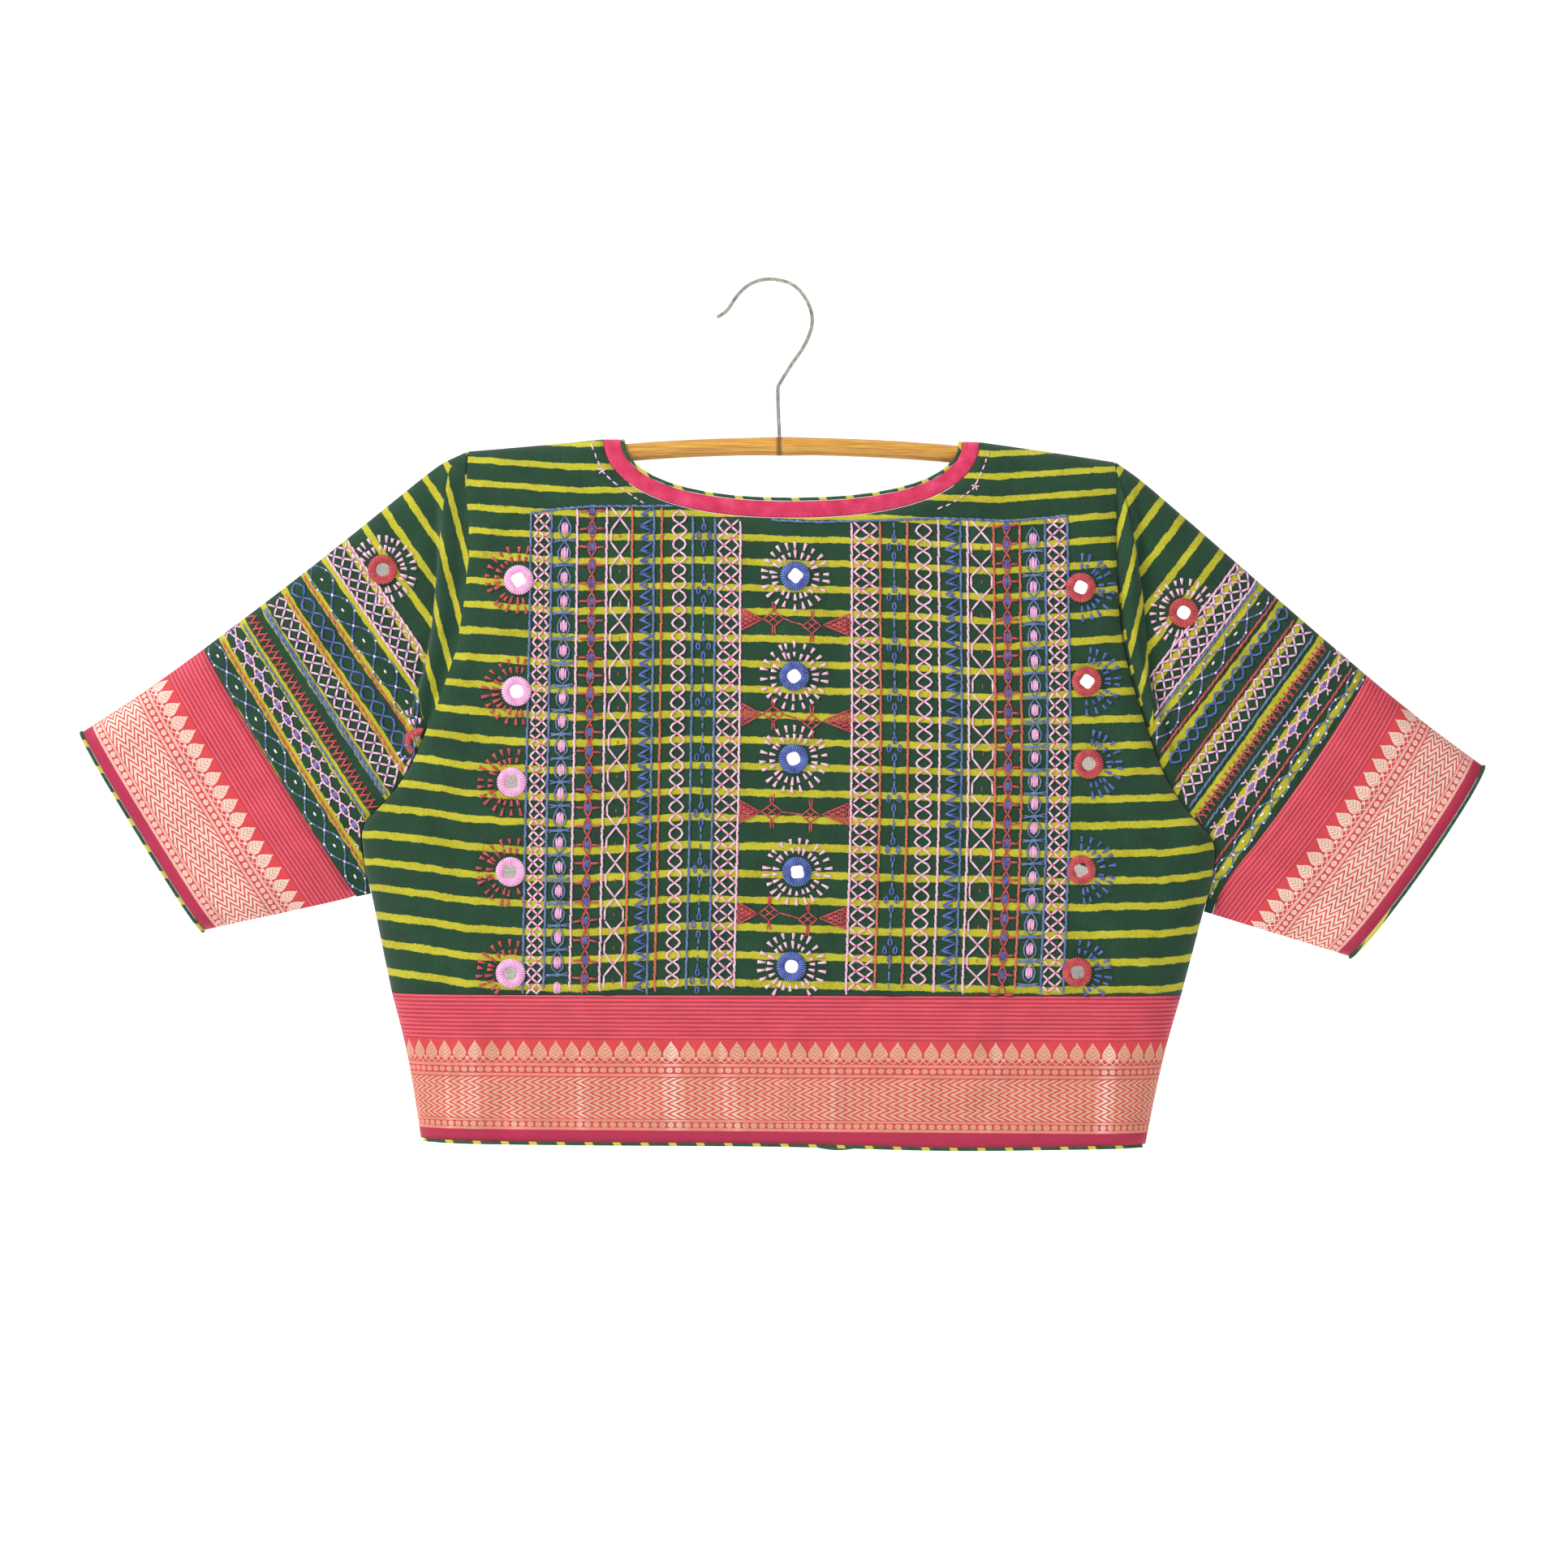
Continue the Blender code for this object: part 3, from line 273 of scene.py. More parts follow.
def back_pattern(x, y, z):
    """Place on the back's cloth: along the stripes, and across them with each stripe at a multiple
    of the pitch."""
    columns = np.array([drop.x for drop in DROPS])
    upper = np.interp(x, columns, np.array([drop.upper for drop in DROPS]))
    lower = np.interp(x, columns, np.array([drop.lower for drop in DROPS]))
    share = np.clip((DROP_HEIGHTS[0] - z) / (DROP_HEIGHTS[0] - DROP_HEIGHTS[1]), 0.0, 1.0)
    level = z + upper * (1 - share) + lower * share
    heights = np.array(STRIPES[::-1])
    return x, np.interp(level, heights, np.arange(len(heights)) * STRIPE_PITCH)


BACK_CREASES = [
    Crease(186, -292, 38, 40, 4.5, -1.2),
    Crease(176, -318, 24, 46, 5.0, 0.9),
    Crease(196, -338, 12, 34, 4.0, -0.9),
    Crease(205, -368, 4, 30, 5.0, 0.6),
    Crease(-180, -296, -40, 36, 4.5, -1.1),
    Crease(-170, -322, -26, 42, 5.0, 0.8),
    Crease(-192, -344, -12, 30, 4.0, -0.8),
    Crease(-196, -372, -4, 28, 5.0, 0.6),
    Crease(176, -180, 82, 40, 5.0, -0.8),
    Crease(-158, -186, -84, 36, 5.0, -0.8),
    Crease(130, -110, 62, 22, 4.0, -0.5),
    Crease(-104, -112, -62, 22, 4.0, -0.5),
    Crease(-92, -390, 88, 26, 6.0, 0.5),
    Crease(66, -388, 92, 28, 6.0, 0.5),
    Crease(-36, -300, 84, 60, 9.0, 0.5),
    Crease(92, -290, 94, 66, 9.0, 0.5),
]
UNDERARM = -268.0
cottons = (COTTON, COTTON_BACK, "striped_cotton")
back_panel = dressed("back_panel", BACK_CREASES, back_pattern, *cottons, seams_below=UNDERARM)

# Fronts: two panels of the same printed cotton from shoulder to hem, on the side that the photo
# hides, with a bust dart's pull, and the overlap strip over the hooks sewn down the right one.


def front_pattern(x, y, z):
    """The back's stripes, carried on round the side seams."""
    return x, back_pattern(-x, y, z)[1]


FRONT_CREASES = [
    Crease(96, -282, 58, 52, 5.0, -1.0),
    Crease(-96, -286, -58, 52, 5.0, -1.0),
    Crease(150, -318, 30, 46, 5.0, 0.9),
    Crease(-146, -320, -30, 46, 5.0, 0.9),
    Crease(186, -332, 14, 36, 4.0, -0.9),
    Crease(-184, -336, -14, 36, 4.0, -0.9),
    Crease(80, -420, 92, 44, 6.0, 0.8),
    Crease(-78, -424, 88, 44, 6.0, 0.8),
    Crease(140, -430, 90, 40, 6.0, -0.8),
    Crease(-142, -428, 90, 40, 6.0, -0.8),
    Crease(168, -190, 80, 40, 5.0, -0.8),
    Crease(-158, -190, -80, 40, 5.0, -0.8),
    Crease(60, -232, 70, 30, 5.0, 0.6),
    Crease(-40, -236, -70, 30, 5.0, 0.6),
]
for name in ("front_left", "front_right"):
    front = dressed(name, FRONT_CREASES, front_pattern, *cottons, seams_below=UNDERARM)
placket = dressed("front_placket", FRONT_CREASES, front_pattern, *cottons, levels=1)

# Waist border: a bought woven border of coral silk-cotton, 81 mm deep, with ribs, a row of leaves,
# dots and zigzags in pale gold weft and a magenta selvedge. It is seamed on under the back panel.

BORDER_DEPTH = 81.0
# how far down the border each figure lies: middles, with half heights where they differ
RIBS_END = 24.6
LEAF_TIP = 25.2
LEAF_FOOT = 36.4
OVALS = 34.9
TWISTED_LINES = ((38.6, 0.8), (44.2, 0.75), (69.4, 0.6), (74.0, 0.75))
DOT_ROWS = (41.4, 71.7)
ZIG_FIELD = (57.0, 11.4)
SELVEDGE = 75.0
CORAL = "#CF384A"
CORAL_LIGHT = "#DE5262"
CORAL_DARK = "#A8233C"
MAGENTA = "#AE1543"
GLEAM = "#FAE6D2"
LEAF_PITCH = 9.0
DOT_PITCH = 4.55
ZIG_PITCH = 4.7
ZIG_RISE = 2.85
RIB_PITCH = 2.27
WEFT_PITCH = 0.42


def zari_cloth(name, fade, dull, plain, bright):
    """Border cloth: ribbed coral ground with fine weft threads. Its gold figures are floats of zari
    thread, smoother and a little metallic. fade is for the wrong side, where they show less."""

    def inputs(node):
        place = node("UVMap")
        parts = node("SeparateXYZ", {0: place}).node.outputs
        shake = node("TexNoise", {"Vector": place, "Scale": 0.5, "Detail": 2.0})
        u = node("Math", {0: shake, 1: 0.5, 2: parts[0]}, operation="MULTIPLY_ADD")
        v = node("Math", {0: shake, 1: 0.4, 2: parts[1]}, operation="MULTIPLY_ADD")
        v = node("Math", {0: v, 1: 0.2}, operation="SUBTRACT")
        # ribs of the plain upper part, with painted shade in their troughs and painted highlight on their
        # ridges: the colour follows the rib's bump, with random streaks
        rib = node("Math", {0: v, 1: 2 * pi / RIB_PITCH}, operation="MULTIPLY")
        rib = node("Math", {0: rib}, operation="SINE")
        streak = node("Mapping", {0: place, 3: (0.02, 0.55, 1.0)})
        streak = node("TexNoise", {"Vector": streak, "Scale": 1.0, "Detail": 3.0})
        band = node("MapRange", {0: rib, 1: -1.0, 2: 1.0, 3: 0.0, 4: 0.55})
        band = node("Math", {0: streak, 1: 0.6, 2: band}, operation="MULTIPLY_ADD")
        ribbed = node(
            "ValToRGB", {0: band},
            stops=[(0.36, linear(CORAL_DARK)), (0.56, linear(CORAL)), (0.82, linear(CORAL_LIGHT))],
        )
        upper = node("Math", {0: v, 1: RIBS_END}, operation="LESS_THAN")
        ground = node("Mix", {0: upper, 6: linear("#CF363E"), 7: ribbed}, out=2, data_type="RGBA")
        # leaves with V-shaped veins
        off = node("Math", {0: u, 1: LEAF_PITCH / 2}, operation="PINGPONG")
        down = node("MapRange", {0: v, 1: LEAF_TIP, 2: LEAF_FOOT})
        shape = node(
            "ValToRGB", {0: down},
            stops=[
                (0.0, (0, 0, 0, 1)), (0.12, (0.14, 0.14, 0.14, 1)), (0.4, (0.66, 0.66, 0.66, 1)),
                (0.6, (0.88, 0.88, 0.88, 1)), (0.78, (0.8, 0.8, 0.8, 1)), (0.93, (0.3, 0.3, 0.3, 1)),
                (1.0, (0, 0, 0, 1)),
            ],
        )
        wide = node("Math", {0: shape, 1: LEAF_PITCH / 2}, operation="MULTIPLY")
        inside = node("Math", {0: wide, 1: off}, operation="SUBTRACT")
        leaf = node("Math", {0: inside, 1: 0.0}, operation="GREATER_THAN")
        vein = node("Math", {0: off, 1: 0.9, 2: v}, operation="MULTIPLY_ADD")
        vein = node("Math", {0: vein, 1: 2 * pi / 2.2}, operation="MULTIPLY")
        vein = node("Math", {0: vein}, operation="SINE")
        vein = node("Math", {0: vein, 1: 0.35}, operation="GREATER_THAN")
        deep = node("Math", {0: inside, 1: 0.7}, operation="GREATER_THAN")
        vein = node("Math", {0: vein, 1: deep}, operation="MULTIPLY")
        vein = node("Math", {0: vein, 1: -0.55}, operation="MULTIPLY")
        gold = node("Math", {0: leaf, 1: vein}, operation="ADD", use_clamp=True)
        # small ovals between the leaves' feet
        away = node("Math", {0: LEAF_PITCH / 2, 1: off}, operation="SUBTRACT")
        away = node("Math", {0: away, 1: 0.6}, operation="MULTIPLY")
        drop = node("Math", {0: v, 1: OVALS}, operation="SUBTRACT")
        square = node("Math", {0: drop, 1: drop}, operation="MULTIPLY")
        square = node("Math", {0: away, 1: away, 2: square}, operation="MULTIPLY_ADD")
        oval = node("Math", {0: square, 1: 0.62}, operation="LESS_THAN")
        gold = node("Math", {0: gold, 1: oval}, operation="MAXIMUM")
        # crossing feet above the first twisted line
        foot = node("Math", {0: u, 1: LEAF_PITCH / 4}, operation="PINGPONG")
        foot = node("Math", {0: foot, 1: 0.75, 2: 35.7}, operation="MULTIPLY_ADD")
        foot = node("Math", {0: foot, 1: v, 2: 0.32}, operation="COMPARE")
        gold = node("Math", {0: gold, 1: foot}, operation="MAXIMUM")
        # twisted lines
        slant = node("Math", {0: u, 1: v}, operation="ADD")
        slant = node("Math", {0: slant, 1: 2 * pi / 1.1}, operation="MULTIPLY")
        slant = node("Math", {0: slant}, operation="SINE")
        slant = node("Math", {0: slant, 1: -0.55}, operation="GREATER_THAN")
        for middle, half in TWISTED_LINES:
            line = node("Math", {0: v, 1: middle, 2: half}, operation="COMPARE")
            line = node("Math", {0: line, 1: slant}, operation="MULTIPLY")
            gold = node("Math", {0: gold, 1: line}, operation="MAXIMUM")
        # rows of dots
        dot = node("Math", {0: u, 1: DOT_PITCH / 2}, operation="PINGPONG")
        dot = node("Math", {0: dot, 1: 0.78}, operation="MULTIPLY")
        for middle in DOT_ROWS:
            drop = node("Math", {0: v, 1: middle}, operation="SUBTRACT")
            square = node("Math", {0: drop, 1: drop}, operation="MULTIPLY")
            square = node("Math", {0: dot, 1: dot, 2: square}, operation="MULTIPLY_ADD")
            disc = node("MapRange", {0: square, 1: 2.0, 2: 1.7})
            heart = node("MapRange", {0: square, 1: 1.0, 2: 0.6, 3: 0.0, 4: 0.3})
            disc = node("Math", {0: disc, 1: heart}, operation="SUBTRACT", use_clamp=True)
            gold = node("Math", {0: gold, 1: disc}, operation="MAXIMUM")
        # upright zigzags
        zig = node("Math", {0: v, 1: ZIG_RISE}, operation="PINGPONG")
        zig = node("Math", {0: zig, 1: 2.2, 2: u}, operation="MULTIPLY_ADD")
        zig = node("Math", {0: zig, 1: ZIG_PITCH / 2}, operation="PINGPONG")
        zig = node("MapRange", {0: zig, 1: 1.52, 2: 1.3})
        field = node("Math", {0: v, 1: ZIG_FIELD[0], 2: ZIG_FIELD[1]}, operation="COMPARE")
        zig = node("Math", {0: zig, 1: field}, operation="MULTIPLY")
        gold = node("Math", {0: gold, 1: zig}, operation="MAXIMUM")
        worn = node("TexNoise", {"Vector": place, "Scale": 2.4, "Detail": 2.0})
        thread = node(
            "ValToRGB", {0: worn},
            stops=[(0.3, linear(dull)), (0.55, linear(plain)), (0.75, linear(bright))],
        )
        # painted highlight: in some upright streaks the metal thread's colour is mixed towards a pale gleam,
        # standing in for the shine of its metal
        streak = node("Mapping", {0: place, 3: (0.045, 0.004, 1.0)})
        streak = node("TexNoise", {"Vector": streak, "Scale": 1.0, "Detail": 2.0})
        streak = node("MapRange", {0: streak, 1: 0.57, 2: 0.72, 3: 0.0, 4: 0.7})
        thread = node("Mix", {0: streak, 6: thread, 7: linear(GLEAM)}, out=2, data_type="RGBA")
        shown = node("Math", {0: gold, 1: 1.0 - fade}, operation="MULTIPLY")
        colour = node("Mix", {0: shown, 6: ground, 7: thread}, out=2, data_type="RGBA")
        edge = node("Math", {0: v, 1: SELVEDGE}, operation="GREATER_THAN")
        colour = node("Mix", {0: edge, 6: colour, 7: linear(MAGENTA)}, out=2, data_type="RGBA")
        cloud = node("TexNoise", {"Vector": place, "Scale": 0.06, "Detail": 4.0})
        shade = node("MapRange", {0: cloud, 1: 0.3, 2: 0.7, 3: 0.9, 4: 1.06})
        shaded = {0: 1.0, 6: colour, 7: shade}
        colour = node("Mix", shaded, out=2, data_type="RGBA", blend_type="MULTIPLY")
        weft = node("Math", {0: parts[1], 1: 2 * pi / WEFT_PITCH}, operation="MULTIPLY")
        weft = node("Math", {0: weft}, operation="SINE")
        lines = node("Math", {0: rib, 1: upper}, operation="MULTIPLY")
        height = node("Math", {0: weft, 1: 0.25, 2: lines}, operation="MULTIPLY_ADD")
        height = node("Math", {0: gold, 1: 1.2, 2: height}, operation="MULTIPLY_ADD")
        bump = node("Bump", {"Strength": 0.5, "Distance": 0.00018, "Height": height})
        return {
            "Base Color": colour,
            "Metallic": node("Math", {0: shown, 1: 0.25}, operation="MULTIPLY"),
            "Roughness": node("MapRange", {0: shown, 3: 0.68, 4: 0.5}),
            "Normal": bump,
            "Sheen Weight": 0.15,
        }

    return new_material(name, inputs)


ZARI = zari_cloth("zari_border_cloth", 0.0, "#BC8466", "#DCA888", "#F0CCAE")
ZARI_BACK = zari_cloth("zari_border_cloth_wrong_side", 0.55, "#C98C66", "#E3AB82", "#F2C9A2")


WAIST_MIDDLE = 11.0
WAIST_HALF = 205.0
WAIST_FACE = -16.1
# how far the pattern runs on for each mm of depth, where a border turns round the body or arm
ROUND_TURN = 0.85


def waist_pattern(x, y, z):
    """Along the border and round its ends, and down from its seam; its edges hang a little askew."""
    tilt = (x - WAIST_MIDDLE) / WAIST_HALF
    top = -394.5 - 0.6 * tilt
    bottom = -475.5 - 1.7 * tilt
    along = x + np.sign(x - WAIST_MIDDLE) * ROUND_TURN * (y - WAIST_FACE)
    return along, (top - z) / (top - bottom) * BORDER_DEPTH


WAIST_CREASES = [
    Crease(-60, -430, 90, 36, 6.0, 0.7),
    Crease(-148, -440, 84, 34, 6.0, -0.7),
    Crease(58, -436, 94, 38, 7.0, -0.7),
    Crease(112, -438, 88, 36, 6.0, 0.7),
    Crease(176, -432, 96, 34, 5.0, -0.6),
    Crease(12, -430, 90, 38, 8.0, 0.5),
]
zaris = (ZARI, ZARI_BACK, "zari_border")
waist = dressed("waist_border", WAIST_CREASES, waist_pattern, *zaris, 3, seams_below=UNDERARM)

# Sleeves: short tubes of the same cotton, stripes parallel to the cuff, eased into the armholes so
# that the head stands in a soft fold beside the seam. Each ends in the zari border, seamed round.

SLEEVE_LENGTH = 264.0
CUFF_WIDTH = 129.0
CUFF_FACE = 8.2
CUFF_SKEW = 4.5
Arm = namedtuple("Arm", "name side tip_x tip_z droop bow first_stripe stripe_pitch fan")
ARMS = [
    Arm("left", -1, -166.2, -94.0, 36.0, 1.0, 56.7, 14.2, 3.4),
    Arm("right", 1, 191.8, -100.0, 39.5, 3.0, 48.2, 14.5, 2.6),
]
SEAM_OUT = 182.0


def arm_lines(arm):
    """Unit directions in x and z: along the top fold, along the cuff, and square to the cuff."""
    droop = radians(arm.droop)
    skew = radians(CUFF_SKEW)
    along = np.array((arm.side * cos(droop), -sin(droop)))
    across = np.array((-arm.side * sin(droop), -cos(droop)))
    cuff = across * cos(skew) + along * sin(skew)
    out = along * cos(skew) - across * sin(skew)
    return along, cuff, out


def arm_place(arm, x, z):
    """Distances from the shoulder tip: along the cuff's direction, and square to it."""
    _, cuff, out = arm_lines(arm)
    from_tip = np.array((x - arm.tip_x, z - arm.tip_z))
    return cuff[0] * from_tip[0] + cuff[1] * from_tip[1], out[0] * from_tip[0] + out[1] * from_tip[1]


def fanned(arm, cuff, out):
    """How far towards the body the pattern swings: it fans from the cuff seam to the shoulder."""
    share = np.clip((SEAM_OUT - out) / 80.0, 0.0, 1.0)
    return cuff * np.tan(np.radians(arm.fan) * share)


def arm_creases(arm):
    """Pulls that run from the armhole and the underarm down the sleeve."""
    rows = []
    for along, across, turn, length, width, height in (
        (40, 60, 4, 34, 4.0, -0.9),
        (48, 92, -14, 36, 4.5, 0.9),
        (60, 118, -24, 34, 4.0, -0.8),
        (120, 70, 4, 44, 6.0, 0.6),
        (150, 104, -8, 40, 6.0, -0.6),
        (205, 40, 6, 34, 7.0, 0.5),
        (215, 86, -3, 34, 7.0, -0.5),
    ):
        ahead, cuff, _ = arm_lines(arm)
        x = arm.tip_x + ahead[0] * along + cuff[0] * across
        z = arm.tip_z + ahead[1] * along + cuff[1] * across
        lie = atan2(ahead[1], ahead[0]) * 180 / pi + turn * arm.side
        rows.append(Crease(x, z, lie, length, width, height))
    return rows


def sleeve_pattern(arm):
    """Gives the pattern of one sleeve: its stripes lie parallel to the cuff and fan a little."""

    def pattern(x, y, z):
        cuff, out = arm_place(arm, x, z)
        out = out + fanned(arm, cuff, out)
        return cuff, (out - arm.first_stripe) / arm.stripe_pitch * STRIPE_PITCH

    return pattern


def cuff_pattern(arm):
    """Gives the pattern of one sleeve border: along the cuff and round its folds, down to its edge."""

    def pattern(x, y, z):
        cuff, out = arm_place(arm, x, z)
        share = np.clip((cuff + sin(radians(CUFF_SKEW)) * -SLEEVE_LENGTH) / CUFF_WIDTH, 0, 1)
        edge = SLEEVE_LENGTH * cos(radians(CUFF_SKEW)) + arm.bow * 4 * share * (1 - share)
        folded = np.sign(share - 0.5) * ROUND_TURN * (CUFF_FACE - abs(y))
        return cuff + folded, BORDER_DEPTH - (edge - out)

    return pattern


# the sleeve borders' copy of the zari cloth has paler gold: a painted highlight for the light that glints on
# their metal thread
ZARI_PALE = zari_cloth("zari_border_cloth_pale", 0.0, "#DBBAA5", "#EDD4C3", "#F7E7DB")
sleeves = {}
for arm in ARMS:
    name = "sleeve_" + arm.name
    sleeve = dressed(name, arm_creases(arm), sleeve_pattern(arm), *cottons)
    name = "sleeve_border_" + arm.name
    cuff = dressed(name, arm_creases(arm), cuff_pattern(arm), ZARI_PALE, ZARI_BACK, "zari_border", 3)
    sleeves[arm.name] = sleeve

# Sleeve heads: where the sleeve's cloth rolls over before the armhole seam, it stands as a soft fold
# whose stripes run steeply down to the seam. It is part of the sleeve, not a piece of its own cut.

Head = namedtuple("Head", "arm seam edge mark across pitch")
Spot = namedtuple("Spot", "x z")
HEADS = [
    Head(
        "left",
        [Spot(-168.2, -100.0), Spot(-165.2, -133.0), Spot(-165.4, -154.0), Spot(-168.2, -181.0),
         Spot(-172.2, -205.0), Spot(-176.6, -217.5), Spot(-182.6, -235.0), Spot(-188.0, -247.0)],
        [Spot(-175.5, -100.0), Spot(-179.0, -128.0), Spot(-180.9, -146.2), Spot(-183.6, -173.9),
         Spot(-185.4, -192.0), Spot(-188.5, -211.3), Spot(-192.6, -228.0), Spot(-190.4, -243.0)],
        Spot(-180.3, -146.2), (-0.971, -0.241), 11.3,
    ),
    Head(
        "right",
        [Spot(190.9, -101.0), Spot(192.6, -130.0), Spot(193.4, -156.0), Spot(195.8, -182.0),
         Spot(199.2, -205.0), Spot(203.4, -222.0), Spot(207.4, -237.0), Spot(211.2, -249.0)],
        [Spot(192.0, -104.0), Spot(197.8, -126.0), Spot(202.0, -147.4), Spot(205.6, -167.9),
         Spot(207.6, -187.2), Spot(209.2, -208.9), Spot(211.4, -233.0), Spot(212.6, -250.0)],
        Spot(202.2, -148.6), (0.970, -0.243), 10.8,
    ),
]
# height over the cloth from the seam to the fold's edge and round under it: share across, height
FOLD_SECTION = [
    (-0.16, -0.2), (0.04, 0.9), (0.25, 1.6), (0.5, 2.2), (0.75, 2.7), (0.9, 2.7), (0.98, 2.2),
    (1.03, 1.4), (1.03, 0.6), (0.98, 0.1),
]
FOLD_ROWS = 60


def surface(piece):
    """The outside of a piece as it lies, to be met by rays."""
    return BVHTree.FromObject(piece, bpy.context.evaluated_depsgraph_get())


def touch(tree, x, z, face=-1):
    """Where a ray that crosses the blouse at x and z, in mm, meets a surface, in m, and its normal
    there. face is the side that the ray comes from: -1 is the back."""
    start = Vector((x / 1000, face * 0.2, z / 1000))
    return tree.ray_cast(start, Vector((0, -face, 0)))[:2]


def fold_points(head, trees):
    """The fold's points in m, a row at a time down the seam, and their places on the cloth."""
    points, places = [], []
    marks = np.arange(len(head.seam))
    for row in range(FOLD_ROWS + 1):
        share = row / FOLD_ROWS * (len(head.seam) - 1)
        (ax, az), (bx, bz) = [
            (np.interp(share, marks, [s.x for s in line]), np.interp(share, marks, [s.z for s in line]))
            for line in (head.seam, head.edge)
        ]
        taper = min(1.0, 4.0 * row / FOLD_ROWS, 5.0 * (1 - row / FOLD_ROWS)) ** 0.7
        for t, height in FOLD_SECTION:
            x, z = ax + (bx - ax) * t, az + (bz - az) * t
            wave = 0.25 * sin(z / 9.0 + t * 2)
            hits = [touch(tree, x, z)[0] for tree in trees]
            depths = [hit.y * 1000 for hit in hits if hit is not None and hit.y < 0.004]
            y = min(depths) if depths else points[-1][1] * 1000
            points.append((x / 1000, (y - (height + wave * t) * taper + 0.35) / 1000, z / 1000))
            v = ((x - head.mark.x) * head.across[0] + (z - head.mark.z) * head.across[1]) / head.pitch
            u = (x - head.mark.x) * -head.across[1] + (z - head.mark.z) * head.across[0]
            places.append((u, v * STRIPE_PITCH))
    return points, places


def smooth_mesh(name, points, faces, places):
    """A smooth mesh from points in m, each with its place on the cloth or thread."""
    mesh = bpy.data.meshes.new(name)
    mesh.from_pydata(points, [], faces)
    lay_out(mesh, places)
    mesh.polygons.foreach_set("use_smooth", [True] * len(mesh.polygons))
    return mesh


def carried(mesh, material):
    """A piece of the blouse with its mesh's name and one material, which rides on the one body."""
    mesh.materials.append(material)
    piece = bpy.data.objects.new(mesh.name, mesh)
    bpy.context.scene.collection.objects.link(piece)
    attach(piece, "root")
    return piece


heads = {}
for head in HEADS:
    sleeve = sleeves[head.arm]
    points, places = fold_points(head, [surface(sleeve), surface(back_panel)])
    quads = []
    wide = len(FOLD_SECTION)
    for row in range(FOLD_ROWS):
        for a in range(row * wide, row * wide + wide - 1):
            if head.arm == "right":
                quads.append((a, a + 1, a + wide + 1, a + wide))
            else:
                quads.append((a, a + wide, a + wide + 1, a + 1))
    fold = carried(smooth_mesh("sleeve_head_" + head.arm, points, quads, places), COTTON)
    heads[head.arm] = fold

# Neck binding: a bias strip of plain coral-pink cotton, folded over the neck edge and stitched
# down, so that it lies rounded, with fine pulls across it.


BIAS_PITCH = 0.6


def plain_cotton(node):
    """Plain dyed cotton on the bias: a matt slanting weave with cloudy dye and small pulls."""
    place = node("UVMap")
    parts = node("SeparateXYZ", {0: place}).node.outputs
    cloud = node("TexNoise", {"Vector": place, "Scale": 0.12, "Detail": 4.0})
    colour = node(
        "ValToRGB", {0: cloud},
        stops=[(0.3, linear("#BE2A50")), (0.55, linear("#D2385F")), (0.75, linear("#DE4E73"))],
    )
    warp = node("Math", {0: parts[0], 1: parts[1]}, operation="ADD")
    warp = node("Math", {0: warp, 1: 2 * pi / BIAS_PITCH}, operation="MULTIPLY")
    warp = node("Math", {0: warp}, operation="SINE")
    weft = node("Math", {0: parts[0], 1: parts[1]}, operation="SUBTRACT")
    weft = node("Math", {0: weft, 1: 2 * pi / BIAS_PITCH}, operation="MULTIPLY")
    weft = node("Math", {0: weft}, operation="SINE")
    weave = node("Math", {0: warp, 1: weft}, operation="MULTIPLY")
    pull = node("TexNoise", {"Vector": place, "Scale": 0.35, "Detail": 2.0})
    height = node("Math", {0: pull, 1: 4.0, 2: weave}, operation="MULTIPLY_ADD")
    return {
        "Base Color": colour,
        "Roughness": 0.85,
        "Normal": node("Bump", {"Strength": 0.4, "Distance": 0.0001, "Height": height}),
        "Sheen Weight": 0.15,
        "Specular IOR Level": 0.25,
    }


BINDING = new_material("plain_bias_cotton", plain_cotton)
bindings = {}
for name, length in (("neck_binding_back", 0.235), ("neck_binding_front", 0.34)):
    binding = dressed(name, [], lambda x, y, z: (x, z), BINDING, BINDING, "binding", rim=0.55)
    bindings[name] = binding

# Piping: a cord-thin roll of the printed cotton, cut on the cross, at neck, hem and cuffs, so that
# its green and yellow show as short dashes.

# the roll is drawn this much fuller than its solid, in m, so that it meets the cloth beside it
ROLL_SWELL = 0.00024
DASH_PITCH = 15.3


def rolled_cotton(name, turn):
    """The printed cotton rolled tight: short slanting yellow dashes on dark green, matt. turn is how
    steeply the roll slopes, in degrees."""

    def inputs(node):
        place = node("TexCoord", out=3)
        turned = node("Mapping", {0: place, 2: (0.0, radians(turn), 0.0), 3: (1000.0,) * 3})
        parts = node("SeparateXYZ", {0: turned}).node.outputs
        slant = node("Math", {0: parts[2], 1: 0.5, 2: parts[0]}, operation="MULTIPLY_ADD")
        off = node("Math", {0: slant, 1: DASH_PITCH / 2}, operation="PINGPONG")
        dash = node("MapRange", {0: off, 1: 2.3, 2: 1.9})
        cloud = node("TexNoise", {"Vector": turned, "Scale": 0.4, "Detail": 3.0})
        stops = [(0.3, linear("#1B3F2A")), (0.7, linear("#2C5A3F"))]
        green = node("ValToRGB", {0: cloud}, stops=stops)
        colour = node("Mix", {0: dash, 6: green, 7: linear("#C2BF45")}, out=2, data_type="RGBA")
        return {
            "Base Color": colour,
            "Roughness": 0.9,
            "Normal": node("Bump", {"Strength": 0.3, "Distance": 0.0001, "Height": cloud}),
        }

    return new_material(name, inputs)


